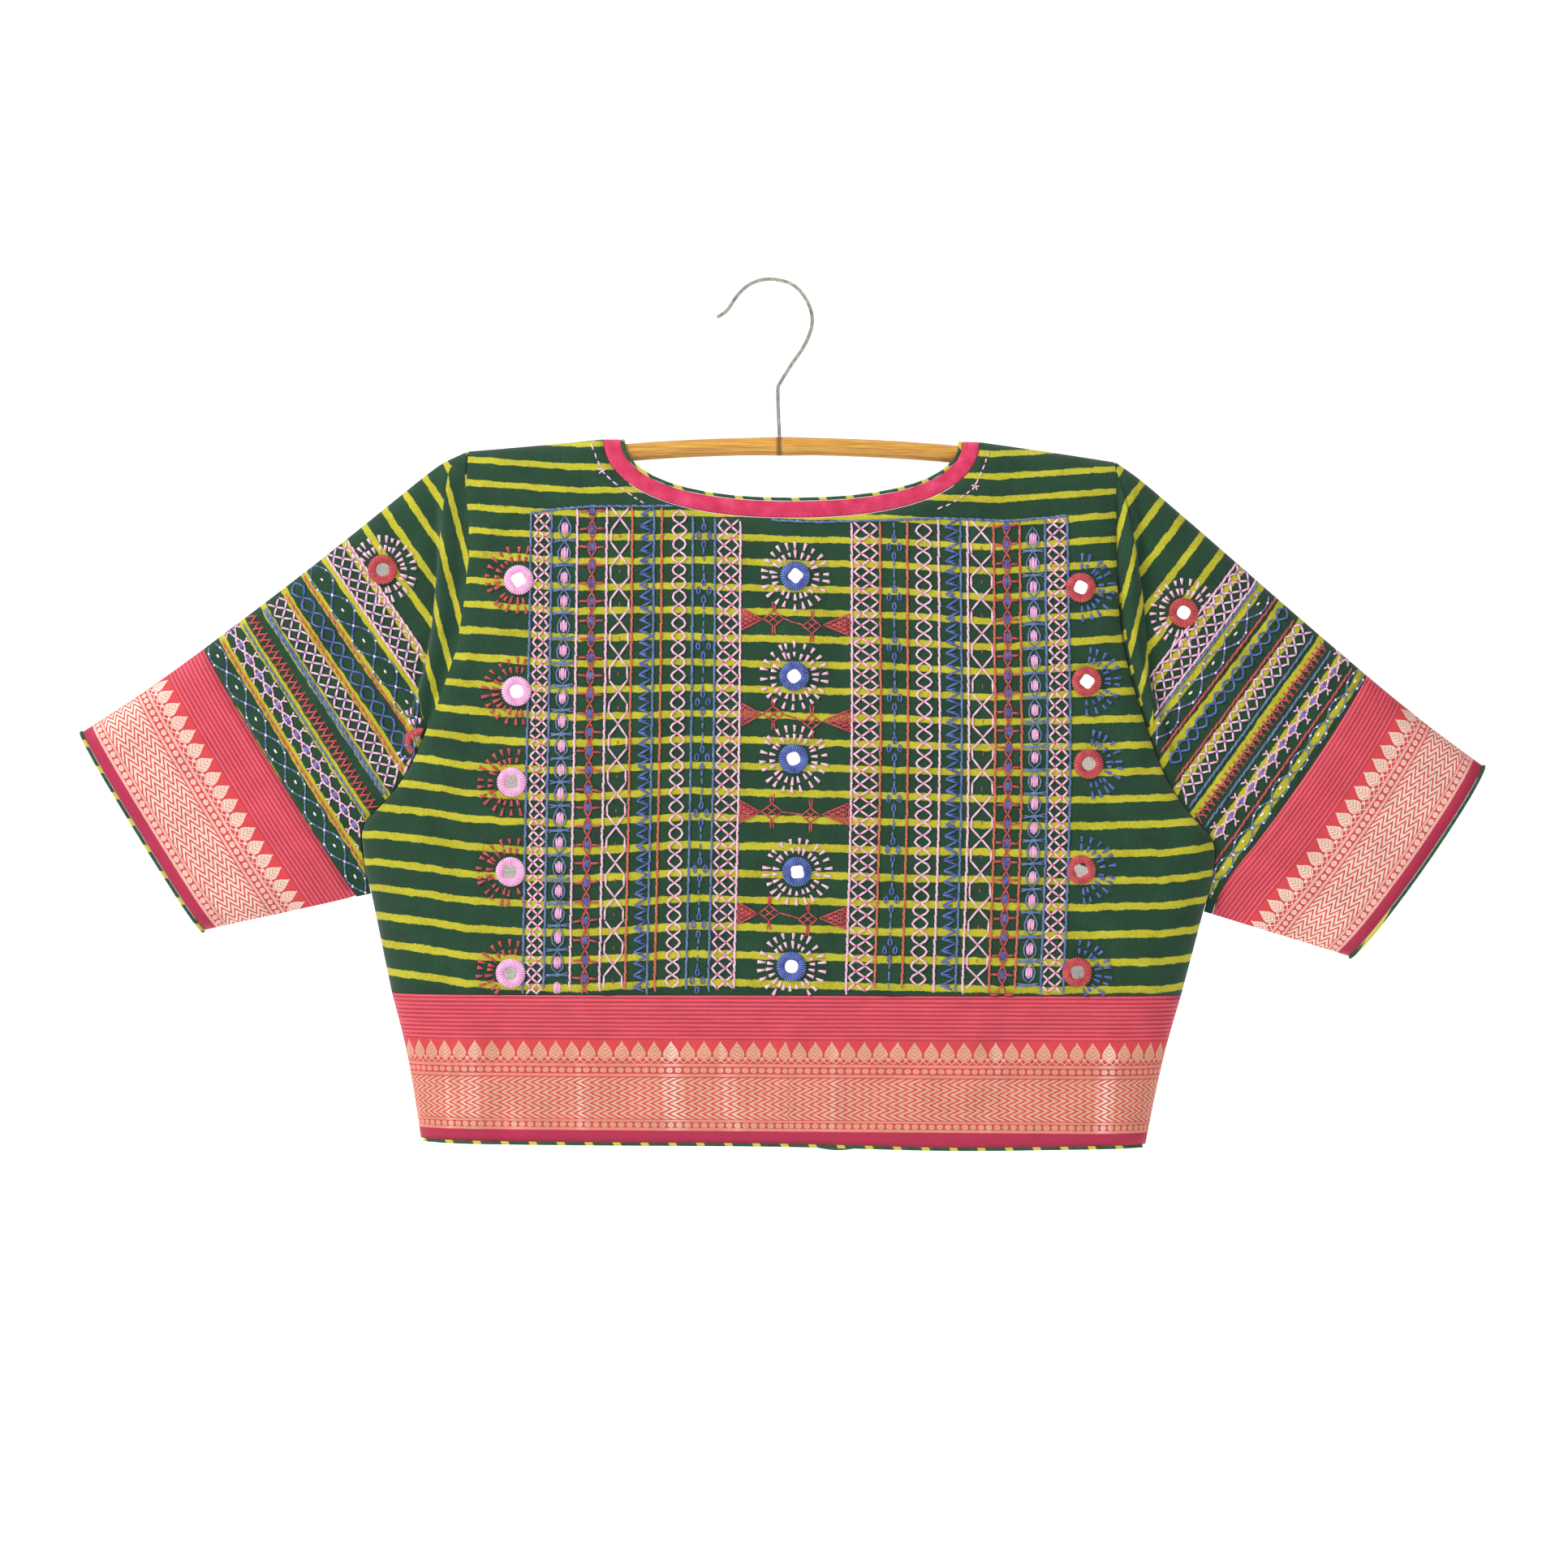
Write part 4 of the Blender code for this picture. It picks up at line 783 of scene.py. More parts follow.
# lift raises the drawn roll a little, in m, to close the gap to the cloth above it
Roll = namedtuple("Roll", "name turn lift")
for roll in (
    Roll("neck_piping", 0.0, 0.0),
    Roll("hem_piping", 0.0, 0.0003),
    Roll("cuff_piping_left", 58.5, 0.0),
    Roll("cuff_piping_right", -55.0, 0.0),
):
    mesh = bmesh.new()
    mesh.from_mesh(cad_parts[roll.name].data)
    bmesh.ops.remove_doubles(mesh, verts=mesh.verts, dist=1e-6)
    mesh.normal_update()
    for vert in mesh.verts:
        vert.co += vert.normal * ROLL_SWELL + Vector((0, 0, roll.lift))
    swollen = bpy.data.meshes.new(roll.name + "_cloth")
    mesh.to_mesh(swollen)
    mesh.free()
    piping = carried(swollen, rolled_cotton("rolled_cotton_" + roll.name, roll.turn))
    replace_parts(piping, roll.name)

# Mirrors: round chips of silvered glass, each held down by a raised ring of buttonhole stitch whose
# threads run outward from a rounded opening. The back has three columns of them.

RING_OUT = 8.4
RING_IN = 3.4
RING_STITCHES = 34
GLASS_RISE = 0.85
# the chips whose silver is drawn dark grey: a painted reflection of darker parts of the room
WORN = {"mirror_%s_%d" % (column, row) for column in ("left", "right") for row in (3, 4, 5)}
WORN |= {"mirror_sleeve_left_1", "mirror_tucked"}


def stranded_cotton(name, deep, plain, light):
    """Embroidery thread: loosely twisted cotton with a soft shine, with painted shade between its strands
    and painted highlight on them.
    """

    def inputs(node):
        place = node("UVMap")
        parts = node("SeparateXYZ", {0: place}).node.outputs
        twist = node("Math", {0: parts[0], 1: 6.5, 2: parts[1]}, operation="MULTIPLY_ADD")
        twist = node("Math", {0: twist}, operation="SINE")
        body = node("TexCoord", out=3)
        body = node("Mapping", {0: body, 3: (1000.0,) * 3})
        uneven = node("TexNoise", {"Vector": body, "Scale": 0.25, "Detail": 3.0})
        # painted shade and highlight: the twist darkens the colour between strands and stitches and lightens
        # it on them, with random unevenness
        shade = node("Math", {0: twist, 1: 0.26, 2: uneven}, operation="MULTIPLY_ADD")
        colour = node(
            "ValToRGB", {0: shade},
            stops=[(0.3, linear(deep)), (0.5, linear(plain)), (0.72, linear(light))],
        )
        return {
            "Base Color": colour,
            "Roughness": node("MapRange", {0: twist, 1: -1.0, 2: 1.0, 3: 0.62, 4: 0.45}),
            "Normal": node("Bump", {"Strength": 0.5, "Distance": 0.00012, "Height": twist}),
            "Sheen Weight": 0.2,
        }

    return new_material(name, inputs)


THREADS = {
    "pink": stranded_cotton("stranded_cotton_pale_pink", "#DC96BA", "#F0B8D2", "#FFDCEA"),
    "lilac": stranded_cotton("stranded_cotton_lilac_pink", "#DE8FC4", "#EFA9D4", "#FAC9E6"),
    "rose": stranded_cotton("stranded_cotton_rose", "#B92A5C", "#DC4179", "#EE6C98"),
    "blue": stranded_cotton("stranded_cotton_blue", "#26347A", "#3F55A6", "#6A80C6"),
    "slate": stranded_cotton("stranded_cotton_slate_blue", "#32477C", "#50699E", "#7C92BC"),
    "violet": stranded_cotton("stranded_cotton_violet", "#4A3C8C", "#7361B4", "#9C8ED0"),
    "red": stranded_cotton("stranded_cotton_red", "#8E1F2C", "#BF3540", "#D65A5A"),
    "ember": stranded_cotton("stranded_cotton_orange_red", "#A8402C", "#CF5F42", "#DF7F5C"),
    "white": stranded_cotton("stranded_cotton_white", "#DAD4E0", "#F2EEF6", "#FFFFFF"),
}


def silvered_glass(name, spotted, clear):
    """Chips of old mirror: silver that gives back the pale room, with faint spots."""

    def inputs(node):
        place = node("TexCoord", out=3)
        scaled = node("Mapping", {0: place, 3: (1000.0,) * 3})
        spots = node("TexNoise", {"Vector": scaled, "Scale": 1.2, "Detail": 3.0})
        colour = node("ValToRGB", {0: spots}, stops=[(0.3, linear(spotted)), (0.5, linear(clear))])
        return {
            "Base Color": colour,
            "Metallic": 1.0,
            "Roughness": node("MapRange", {0: spots, 3: 0.04, 4: 0.16}),
            "Normal": node("Bump", {"Strength": 0.02, "Distance": 0.0002, "Height": spots}),
        }

    return new_material(name, inputs)


GLASS = silvered_glass("silvered_glass", "#E4E4E0", "#FAFAF8")
# the dark grey copy of the glass paints in the reflection of darker parts of the room
WORN_GLASS = silvered_glass("silvered_glass_tarnished", "#77706A", "#A9A19B")
Chip = namedtuple("Chip", "node centre normal")
chips = []
for name in sorted(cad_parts):
    if not name.startswith("mirror_"):
        continue
    # the solid is a low disc, so its thinnest direction is its normal and its lowest face its foot
    points = np.array([tuple(v.co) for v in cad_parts[name].data.vertices]) * 1000
    points = np.unique(points.round(4), axis=0)
    lines = np.linalg.eigh(np.cov((points - points.mean(0)).T))[1]
    normal = Vector(lines[:, 0])
    if normal.y * points[:, 1].mean() < 0:
        normal = -normal
    middle = Vector(points.mean(0))
    low = min(normal.dot(Vector(p) - middle) for p in points)
    chips.append(Chip(name, middle + normal * (low - 0.35), normal))

# a section of the ring from its inner foot over the top to its outer foot: radius share, height
RING_SECTION = [
    (0.0, 0.35), (0.06, 1.2), (0.24, 1.85), (0.5, 1.9), (0.78, 1.65), (0.95, 1.0), (1.0, 0.1),
]


def stitched_ring(centre, turn, seed):
    """A ring of buttonhole stitches, each a small ridge, round an opening that is a little square."""
    ring = bmesh.new()
    sheet = ring.loops.layers.uv.new("UVMap")
    steps = RING_STITCHES * 4
    rows = []
    for step in range(steps):
        angle = 2 * pi * step / steps
        ridge = 0.5 + 0.5 * cos(angle * RING_STITCHES)
        inner = RING_IN * (1 + (0.07 + 0.05 * sin(seed * 2.3)) * cos(4 * angle + seed))
        row = []
        for share, height in RING_SECTION:
            radius = inner + (RING_OUT - 0.5 + 0.5 * ridge - inner) * share
            rise = height * (0.72 + 0.28 * ridge)
            spot = centre + turn @ Vector((radius * cos(angle), radius * sin(angle), rise))
            row.append(ring.verts.new(spot / 1000))
        rows.append(row)
    for step in range(steps):
        near, far = rows[step], rows[(step + 1) % steps]
        for k in range(len(RING_SECTION) - 1):
            face = ring.faces.new((near[k], near[k + 1], far[k + 1], far[k]))
            face.smooth = True
            corners = ((k, step), (k + 1, step), (k + 1, step + 1), (k, step + 1))
            for loop, (u, v) in zip(face.loops, corners):
                # v gives each stitch one cycle of the thread's painted shade, so the ring is drawn darker
                # between its stitches
                loop[sheet].uv = (u * 0.08, v * pi / 2)
    return ring


def glass_chip(centre, turn, seed):
    """A round chip of glass that leans a little, its rim under the ring's stitches."""
    glass = bmesh.new()
    bmesh.ops.create_circle(glass, cap_ends=True, segments=40, radius=RING_IN + 1.6)
    lean = Vector((0.6 * sin(seed * 1.9), 0.5 * cos(seed * 2.7), 9.0)).normalized()
    lean = lean.to_track_quat("Z", "Y").to_matrix()
    for vert in glass.verts:
        vert.co = (centre + turn @ (lean @ vert.co + Vector((0, 0, GLASS_RISE)))) / 1000
    return glass


def set_mirror(name, centre, normal, colour, seed, cut=None):
    """Sews a chip down under its ring, and gives the ring. cut is a plane, as a point and a
    direction, past which both lie hidden under the back."""
    turn = normal.to_track_quat("Z", "Y").to_matrix()
    pieces = []
    for part, mesh, material in (
        ("_ring", stitched_ring(centre, turn, seed), THREADS[colour]),
        ("_glass", glass_chip(centre, turn, seed), WORN_GLASS if name in WORN else GLASS),
    ):
        if cut:
            geometry = mesh.verts[:] + mesh.edges[:] + mesh.faces[:]
            bmesh.ops.bisect_plane(mesh, geom=geometry, plane_co=cut[0], plane_no=cut[1], clear_outer=True)
        bmesh.ops.recalc_face_normals(mesh, faces=mesh.faces)
        data = bpy.data.meshes.new(name + part)
        mesh.to_mesh(data)
        mesh.free()
        pieces.append(carried(data, material))
    return pieces[0]


for seed, chip in enumerate(chips, 1):
    colour = {"left": "lilac", "middle": "blue"}.get(chip.node.split("_")[1], "red")
    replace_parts(set_mirror(chip.node, chip.centre, chip.normal, colour, seed), chip.node)
# one more on the left sleeve's back runs in under the armhole, so only its outer part shows
TUCKED_X = -193.4
TUCKED_Z = -255.3
hit, normal = touch(surface(sleeves["left"]), TUCKED_X, TUCKED_Z)
normal = (normal + Vector((-0.25, 0, 0))).normalized()
armhole = (Vector((-0.1914, 0, -0.251)), Vector((0.9, 0, -0.43)))
set_mirror("mirror_tucked", hit * 1000 - normal * 0.2, normal, "red", 3, armhole)

# Back embroidery: upright rows of couched, crossed and looped stitches in pink, blue and red cotton
# between the mirrors, hand-sewn through the back panel, each stitch lying on the cloth.

rng = np.random.default_rng(11)
Stitch = namedtuple("Stitch", "points radius swell")
# how much thicker the threads are drawn than the sizes given for them, so that they show
FULLNESS = 1.2


def between(start, end, share):
    """The place at a share of the way from start to end."""
    return start[0] + (end[0] - start[0]) * share, start[1] + (end[1] - start[1]) * share


class Needlework:
    """Stitches by thread colour, drawn in a flat frame (right, up) in mm that place turns into the
    blouse's x and z."""

    def __init__(self, place, low, high):
        self.place = place
        self.low = low
        self.high = high
        self.stitches = {}

    def sew(self, colour, points, radius=0.5, swell=0.0, shake=0.16):
        """One stitch through the points, unless any is well beyond the field's ends. swell is for a
        knot at its end, and shake is how far the hand strays, in mm."""
        points = [(x + rng.normal(0, shake), z + rng.normal(0, shake)) for x, z in points]
        if all(self.low - 1.5 <= z <= self.high + 1.5 for _, z in points):
            points = [(x, min(max(z, self.low), self.high)) for x, z in points]
            self.stitches.setdefault(colour, []).append(Stitch(points, radius * FULLNESS, swell))

    def line(self, row):
        """Stem stitch: short slanting stitches that overlap into a twisted cord."""
        z = self.high
        while z > self.low:
            reach = 4.2 + rng.normal(0, 0.4)
            self.sew(row.colour, [(row.left - 0.3, z), (row.left + 0.3, z - reach - 1.0)], 0.58, shake=0.1)
            z -= reach

    def herringbone(self, row):
        """Two columns of crossings, woven by threads that run from side to side, tied in rose."""
        width = row.right - row.left
        near, far = row.left + 0.29 * width, row.right - 0.33 * width
        step = row.pitch / 2
        z = self.high + 2 * row.pitch
        while z > self.low:
            down = [(row.left, z), (near, z - step), (far, z - 2 * step), (row.right, z - 3 * step)]
            back = [(row.right, z - step), (far, z - 2 * step), (near, z - 3 * step)]
            for route in (down, back + [(row.left, z - 4 * step)]):
                for start, end in zip(route, route[1:]):
                    self.sew(row.colour, [start, end], 0.54, shake=0.18)
            for x, tie in ((near, z - step), (far, z - 2 * step)):
                self.sew(row.tie, [(x - 0.9, tie + 0.7), (x + 0.9, tie - 0.7)], 0.5, shake=0.1)
            z -= row.pitch * (1 + rng.normal(0, 0.05))

    def net(self, row):
        """Three columns of crossings: threads that slant from side to side both ways, tied."""
        across = [row.left + (row.right - row.left) * k for k in (0.0, 0.2, 0.5, 0.8, 1.0)]
        step = row.pitch / 2
        z = self.high + 2 * row.pitch
        while z > self.low:
            for route in (across, across[::-1]):
                for k, (start, end) in enumerate(zip(route, route[1:])):
                    self.sew(row.colour, [(start, z - k * step), (end, z - (k + 1) * step)], 0.54, shake=0.2)
            for k, x in enumerate(across[1:4]):
                tie = z - (k + 1) * step
                self.sew(row.tie, [(x - 0.9, tie + 0.8), (x + 0.9, tie - 0.8)], 0.5, shake=0.1)
            z -= row.pitch * (1 + rng.normal(0, 0.04))

    def drops(self, row):
        """Satin ovals, each in a pointed blue loop, with crossed blue bars between."""
        middle = (row.left + row.right) / 2
        z = self.high - row.pitch * 0.78
        while z > self.low:
            for k in (-1.5, -0.5, 0.5, 1.5):
                half = 3.3 * sqrt(1 - (k / 2.3) ** 2)
                at = middle + k * 0.95
                self.sew(row.colour, [(at, z + half), (at, z - half)], 0.5, shake=0.12)
            self.sew("rose", [(middle, z + 1.1), (middle, z - 1.1)], 0.22)
            for side in (-1, 1):
                loop = [(0, 6.5), (1.9, 4.0), (3.4, 0.4), (2.9, -2.9), (0, -5.9)]
                self.sew("slate", [(middle + side * x, z + y) for x, y in loop], 0.42, shake=0.1)
            bar = z - row.pitch / 2
            self.sew("slate", [(row.left, bar + 0.5), (middle, bar - 0.4), (row.right, bar + 1.0)], 0.48)
            self.sew("slate", [(row.left, bar - 1.0), (middle, bar + 0.5), (row.right, bar - 0.6)], 0.48)
            z -= row.pitch * (1 + rng.normal(0, 0.03))

    def crossings(self, row):
        """Blue ovals with red bars at their sides, joined by red threads that cross between them."""
        middle = (row.left + row.right) / 2
        z = self.high - row.pitch * 0.2
        while z > self.low - row.pitch:
            for k in (-1, 0, 1):
                half = 2.8 - 0.6 * abs(k)
                at = middle + k * 0.85
                self.sew("blue", [(at, z + half), (at, z - half)], 0.5, shake=0.1)
            for side, end in ((-1, row.left), (1, row.right)):
                self.sew(row.colour, [(middle + side * 1.7, z), (end, z - rng.normal(0, 0.5))], 0.6)
                swing = [(1.9, 0), (1.7, 2.2), (0, row.pitch / 2)]
                swing += [(-1.7, row.pitch - 2.2), (-1.9, row.pitch)]
                route = [(middle + side * x, z - y) for x, y in swing]
                for start, finish in zip(route, route[1:]):
                    self.sew(row.colour, [start, finish], 0.5, shake=0.1)
            z -= row.pitch * (1 + rng.normal(0, 0.03))

    def hexagons(self, row):
        """A lattice of two threads that cross and part round six-sided gaps."""
        middle = (row.left + row.right) / 2
        z = self.high - 6.0
        while z > self.low - row.pitch:
            pitch = row.pitch * (1 + rng.normal(0, 0.04))
            rise = pitch * 0.34
            for side, edge in ((-1, row.left), (1, row.right)):
                self.sew(row.colour, [(edge, z + rise), (middle, z)], 0.54)
                self.sew(row.colour, [(middle, z), (edge, z - rise)], 0.54)
                self.sew(row.colour, [(edge, z - rise), (edge, z - pitch + rise)], 0.54)
            self.sew("rose", [(middle - 0.6, z + 0.5), (middle + 0.6, z - 0.5)], 0.3, shake=0.1)
            self.sew("red", [(middle, z - pitch / 2 + 1.0), (middle, z - pitch / 2 - 1.0)], 0.3)
            z -= pitch

    def feather(self, row):
        """Slanting blue stitches that hang from a line along the right side."""
        self.line(row._replace(left=row.right))
        width = row.right - row.left
        z = self.high
        while z > self.low:
            pitch = row.pitch * (1 + rng.normal(0, 0.05))
            tip = (row.left, z - pitch * 0.6)
            self.sew("blue", [(row.right - width * 0.12, z), tip], 0.56)
            self.sew("blue", [tip, (row.right - width * 0.2, z - pitch * 0.95)], 0.56)
            spur = [(row.left + width * 0.1, z - pitch * 0.68), (row.left + width * 0.6, z - pitch * 0.6)]
            self.sew("blue", spur, 0.4)
            z -= pitch

    def knots(self, row):
        """A chain of rounded loops: two threads that swing apart and cross again."""
        middle = (row.left + row.right) / 2
        z = self.high - 2.0
        while z > self.low - row.pitch:
            pitch = row.pitch * (1 + rng.normal(0, 0.05))
            for edge in (row.left, row.right):
                bow = [(0.0, 0.0), (0.72, 0.26), (1.0, 0.5), (0.72, 0.74), (0.0, 1.0)]
                route = [(middle + (edge - middle) * x, z - pitch * y) for x, y in bow]
                self.sew(row.colour, route, 0.54, shake=0.12)
            z -= pitch

    def daisies(self, row):
        """Small looped petals in fours, with running stitch between the groups."""
        middle = (row.left + row.right) / 2
        z = self.high - 2.0
        while z > self.low - row.pitch:
            for x, down in ((middle, 8.0), (row.left, 12.5), (row.right, 12.5), (middle, 17.5)):
                for side in (-1, 1):
                    petal = [(0, 2.4), (0.8, 1.0), (0.95, -0.8), (0.15, -2.0)]
                    self.sew(row.colour, [(x + side * a, z - down + b) for a, b in petal], 0.44, shake=0.08)
            for down in (0.0, 4.2, 21.0, 25.2):
                if down < row.pitch:
                    self.sew("slate", [(middle, z - down + 1.4), (middle, z - down - 1.7)], 0.52)
            z -= row.pitch

    def rays(self, x, z, first, last, count, colour):
        """Two rounds of short fat stitches that stand out from a mirror, from first to last degree."""
        for k in range(count):
            turn = radians(first + (last - first) * k / (count - 1) + rng.normal(0, 2.0))
            for start, end in ((9.9, 13.4), (15.0, 18.8)):
                start += rng.normal(0, 0.35)
                end += rng.normal(0, 0.35)
                ends = [(x + cos(turn) * r, z + sin(turn) * r) for r in (start, end)]
                self.sew(colour, ends, 0.52, swell=1.0, shake=0.12)

    def lattice(self, x, z, length, half, lines=5):
        """A triangle of crossed red threads: its base stands at x and its apex length away."""
        for k in range(lines + 1):
            share = 1 - k / lines
            for side in (-1, 1):
                foot = (x, z + side * half * (1 - 2 * k / lines))
                reach = (x + length * share, z - side * half * (k / lines))
                if share > 0:
                    self.sew("red", [foot, reach], 0.42, shake=0.08)
            at = x + length * k / lines
            self.sew("red", [(at, z + half * share), (at, z - half * share)], 0.36, shake=0.08)

    def diamond(self, x, z, wide, high):
        """A small diamond of crossed red threads with a tuft at its top and foot."""
        for k in (0.0, 0.5, 1.0):
            for side in (-1, 1):
                start = (x - wide + wide * k, z + side * high * k)
                end = (x + wide * k, z - side * high * (1 - k))
                self.sew("red", [start, end], 0.42, shake=0.08)
        for side in (-1, 1):
            for lean in (-0.4, 0.4):
                tuft = [(x + lean, z + side * high), (x + lean * 2, z + side * (high + 5.0))]
                self.sew("red", tuft, 0.42)


def on_cloth(stitch, place, cloth, face, cover):
    """Where a stitch lies on the cloth, in mm, with the cloth's normals. Gives none if any of it
    misses the cloth, lies on a steep turn or is under cover."""
    route = []
    fewest = 1 if len(stitch.points) > 2 else 2
    for start, end in zip(stitch.points, stitch.points[1:]):
        pieces = max(fewest, ceil(dist(start, end) / 5.0))
        route += [between(start, end, k / pieces) for k in range(pieces)]
    route.append(stitch.points[-1])
    laid = []
    for spot in route:
        x, z = place(*spot)
        hit, normal = touch(cloth, x, z, face)
        if hit is None or normal.y * face < 0.12:
            return []
        if cover and face < 0 and touch(cover, x, z)[0] is not None:
            return []
        laid.append((hit * 1000, normal))
    return laid


THREAD_SIDES = 5


def lay_thread(stitch, laid, points, quads, places):
    """Adds a stitch's thread: a low five-sided roll that dips into the cloth at both ends."""
    base = len(points)
    length = 0.0
    last = len(laid) - 1
    for k, (hit, normal) in enumerate(laid):
        ahead = (laid[min(k + 1, last)][0] - laid[max(k - 1, 0)][0]).normalized()
        across = ahead.cross(normal).normalized()
        end = k in (0, last)
        radius = stitch.radius * (0.7 if end else 1.0)
        if stitch.swell:
            radius = stitch.radius * (0.75 + stitch.swell * k / last)
        rise = stitch.radius * (0.1 if end else 0.65)
        if k:
            length += (hit - laid[k - 1][0]).length
        for side in range(THREAD_SIDES):
            angle = 2 * pi * side / THREAD_SIDES
            spot = hit + across * (radius * cos(angle)) + normal * (radius * 0.8 * sin(angle) + rise)
            points.append(spot / 1000)
            places.append((length, angle))
    for row in range(base, base + last * THREAD_SIDES, THREAD_SIDES):
        for side in range(THREAD_SIDES):
            a, b = row + side, row + (side + 1) % THREAD_SIDES
            quads.append((a, b, b + THREAD_SIDES, a + THREAD_SIDES))
    quads.append(tuple(base + side for side in reversed(range(THREAD_SIDES))))
    quads.append(tuple(base + last * THREAD_SIDES + side for side in range(THREAD_SIDES)))


def make_threads(name, work, shell, faces, cover=None):
    """Lays every stitch on the cloth from the given sides, and makes one piece for each colour."""
    cloth = surface(shell)
    over = surface(cover) if cover else None
    for colour, stitches in work.stitches.items():
        points, quads, places = [], [], []
        for face in faces:
            for stitch in stitches:
                laid = on_cloth(stitch, work.place, cloth, face, over)
                if laid:
                    lay_thread(stitch, laid, points, quads, places)
        threads = carried(smooth_mesh(name + "_" + colour, points, quads, places), THREADS[colour])


Column = namedtuple("Column", "stitch left right pitch colour tie", defaults=("",))


def cord(x, colour):
    """A column of stem stitch."""
    return Column(Needlework.line, x, x, 0.0, colour)


COLUMNS = [
    cord(-130.5, "slate"),
    Column(Needlework.herringbone, -128.7, -119.9, 6.3, "pink", "rose"),
    cord(-119.0, "slate"),
    Column(Needlework.drops, -117.9, -105.8, 13.3, "lilac"),
    cord(-104.9, "pink"),
    Column(Needlework.crossings, -103.5, -90.0, 10.3, "red"),
    cord(-88.7, "pink"),
    Column(Needlework.hexagons, -86.4, -76.5, 18.9, "pink"),
    cord(-74.7, "ember"),
    Column(Needlework.feather, -70.2, -62.8, 6.3, "slate"),
    cord(-58.5, "ember"),
    Column(Needlework.knots, -52.6, -45.2, 7.3, "pink"),
    cord(-41.4, "slate"),
    Column(Needlework.daisies, -38.2, -32.4, 30.6, "blue"),
    cord(-29.2, "slate"),
    Column(Needlework.herringbone, -27.9, -16.2, 7.4, "pink", "rose"),
    cord(-15.3, "pink"),
    cord(45.9, "pink"),
    Column(Needlework.herringbone, 47.0, 60.3, 6.8, "pink", "rose"),
    cord(61.5, "ember"),
    Column(Needlework.daisies, 66.2, 72.0, 27.7, "blue"),
    cord(76.3, "ember"),
    Column(Needlework.knots, 81.0, 89.4, 7.6, "pink"),
    cord(93.6, "pink"),
    Column(Needlework.feather, 97.2, 105.6, 6.3, "slate"),
    cord(109.4, "pink"),
    Column(Needlework.hexagons, 111.4, 122.6, 18.9, "pink"),
    cord(123.8, "ember"),
    Column(Needlework.crossings, 124.7, 137.2, 10.3, "red"),
    cord(138.1, "ember"),
    Column(Needlework.drops, 139.3, 151.4, 13.3, "lilac"),
    cord(152.1, "slate"),
    Column(Needlework.herringbone, 153.1, 163.6, 6.8, "pink", "rose"),
    cord(164.5, "slate"),
]
# the block's upper edge, and how far its left and right sides stray from upright, mm
Edge = namedtuple("Edge", "x z")
TOP_EDGE = [
    Edge(-131.0, -129.3), Edge(-117.0, -127.2), Edge(-98.0, -125.5), Edge(-66.2, -125.5),
    Edge(-48.1, -125.1), Edge(-29.7, -127.0), Edge(-15.8, -129.4), Edge(5.9, -133.4), Edge(28.4, -134.2),
    Edge(50.9, -133.6), Edge(73.4, -132.8), Edge(95.9, -132.1), Edge(122.9, -133.2),
    Edge(134.1, -133.7), Edge(154.3, -131.6), Edge(164.5, -130.7),
]
Lean = namedtuple("Lean", "z left right")
LEANS = [
    Lean(-396.0, -4.5, -2.7),
    Lean(-340.0, -3.6, -0.4),
    Lean(-294.0, -2.7, 1.0),
    Lean(-248.0, -1.8, 1.4),
    Lean(-186.0, -0.5, 0.5),
    Lean(-130.0, 0.0, 0.0),
]
BLOCK_LOW = -395.0


def leaning(x, z):
    """Turns a place in the upright block into one on the blouse."""
    rows = [row.z for row in LEANS]
    left = np.interp(z, rows, [row.left for row in LEANS])
    right = np.interp(z, rows, [row.right for row in LEANS])
    share = (x - COLUMNS[0].left) / (COLUMNS[-1].right - COLUMNS[0].left)
    return x + left * (1 - share) + right * share, z


sewing = Needlework(leaning, BLOCK_LOW, -120.0)
for column in COLUMNS:
    middle = (column.left + column.right) / 2
    sewing.high = float(np.interp(middle, [e.x for e in TOP_EDGE], [e.z for e in TOP_EDGE])) - 0.6
    column.stitch(sewing, column)
sewing.high = -60.0
for start, end in zip(TOP_EDGE, TOP_EDGE[1:]):
    pieces = ceil((end.x - start.x) / 4.6)
    for k in range(pieces):
        (ax, az), (bx, bz) = [between(start, end, s / pieces) for s in (k, k + 1.2)]
        sewing.sew("slate", [(ax, az + 0.3), (bx, bz - 0.3)], 0.58, shake=0.1)
# between the middle mirrors, two triangles and two diamonds of red thread on a line
for left, right in ((-187.7, -191.0), (-240.1, -243.7), (-293.6, -295.0), (-349.4, -352.1)):
    sewing.lattice(-14.2, left, 11.0, 6.0)
    sewing.lattice(44.8, right, -14.5, 6.0)
    sewing.diamond(3.0, left + 0.3, 5.6, 4.2)
    sewing.diamond(24.0, right - 0.5, 5.0, 4.0)
    for k in range(3):
        ends = [between((8.8, left), (19.0, right), s / 3) for s in (k, k + 1.1)]
        sewing.sew("red", ends, 0.42)
    sewing.sew("red", [(-3.0, left), (-2.4, left)], 0.42)
# running stitch that comes down from each shoulder beside the neck, past a small star
for route in (
    ((-98.1, -90.2), (-95.9, -95.6), (-91.8, -105.5), (-85.5, -111.8), (-77.4, -118.1), (-67.0, -124.4)),
    ((121.4, -95.6), (119.2, -102.4), (113.9, -114.5), (104.9, -121.7), (91.4, -128.0)),
):
    for start, end in zip(route, route[1:]):
        pieces = max(1, round(dist(start, end) / 4.6))
        for k in range(pieces):
            sewing.sew("pink", [between(start, end, s / pieces) for s in (k, k + 0.62)], 0.42)
for x, z in ((-91.8, -105.5), (113.9, -114.5)):
    for k in range(5):
        turn = 2 * pi * k / 5 + 0.3
        sewing.sew("pink", [(x, z), (x + 2.2 * cos(turn), z + 2.2 * sin(turn))], 0.4)
make_threads("back_embroidery", sewing, back_panel, (-1,))
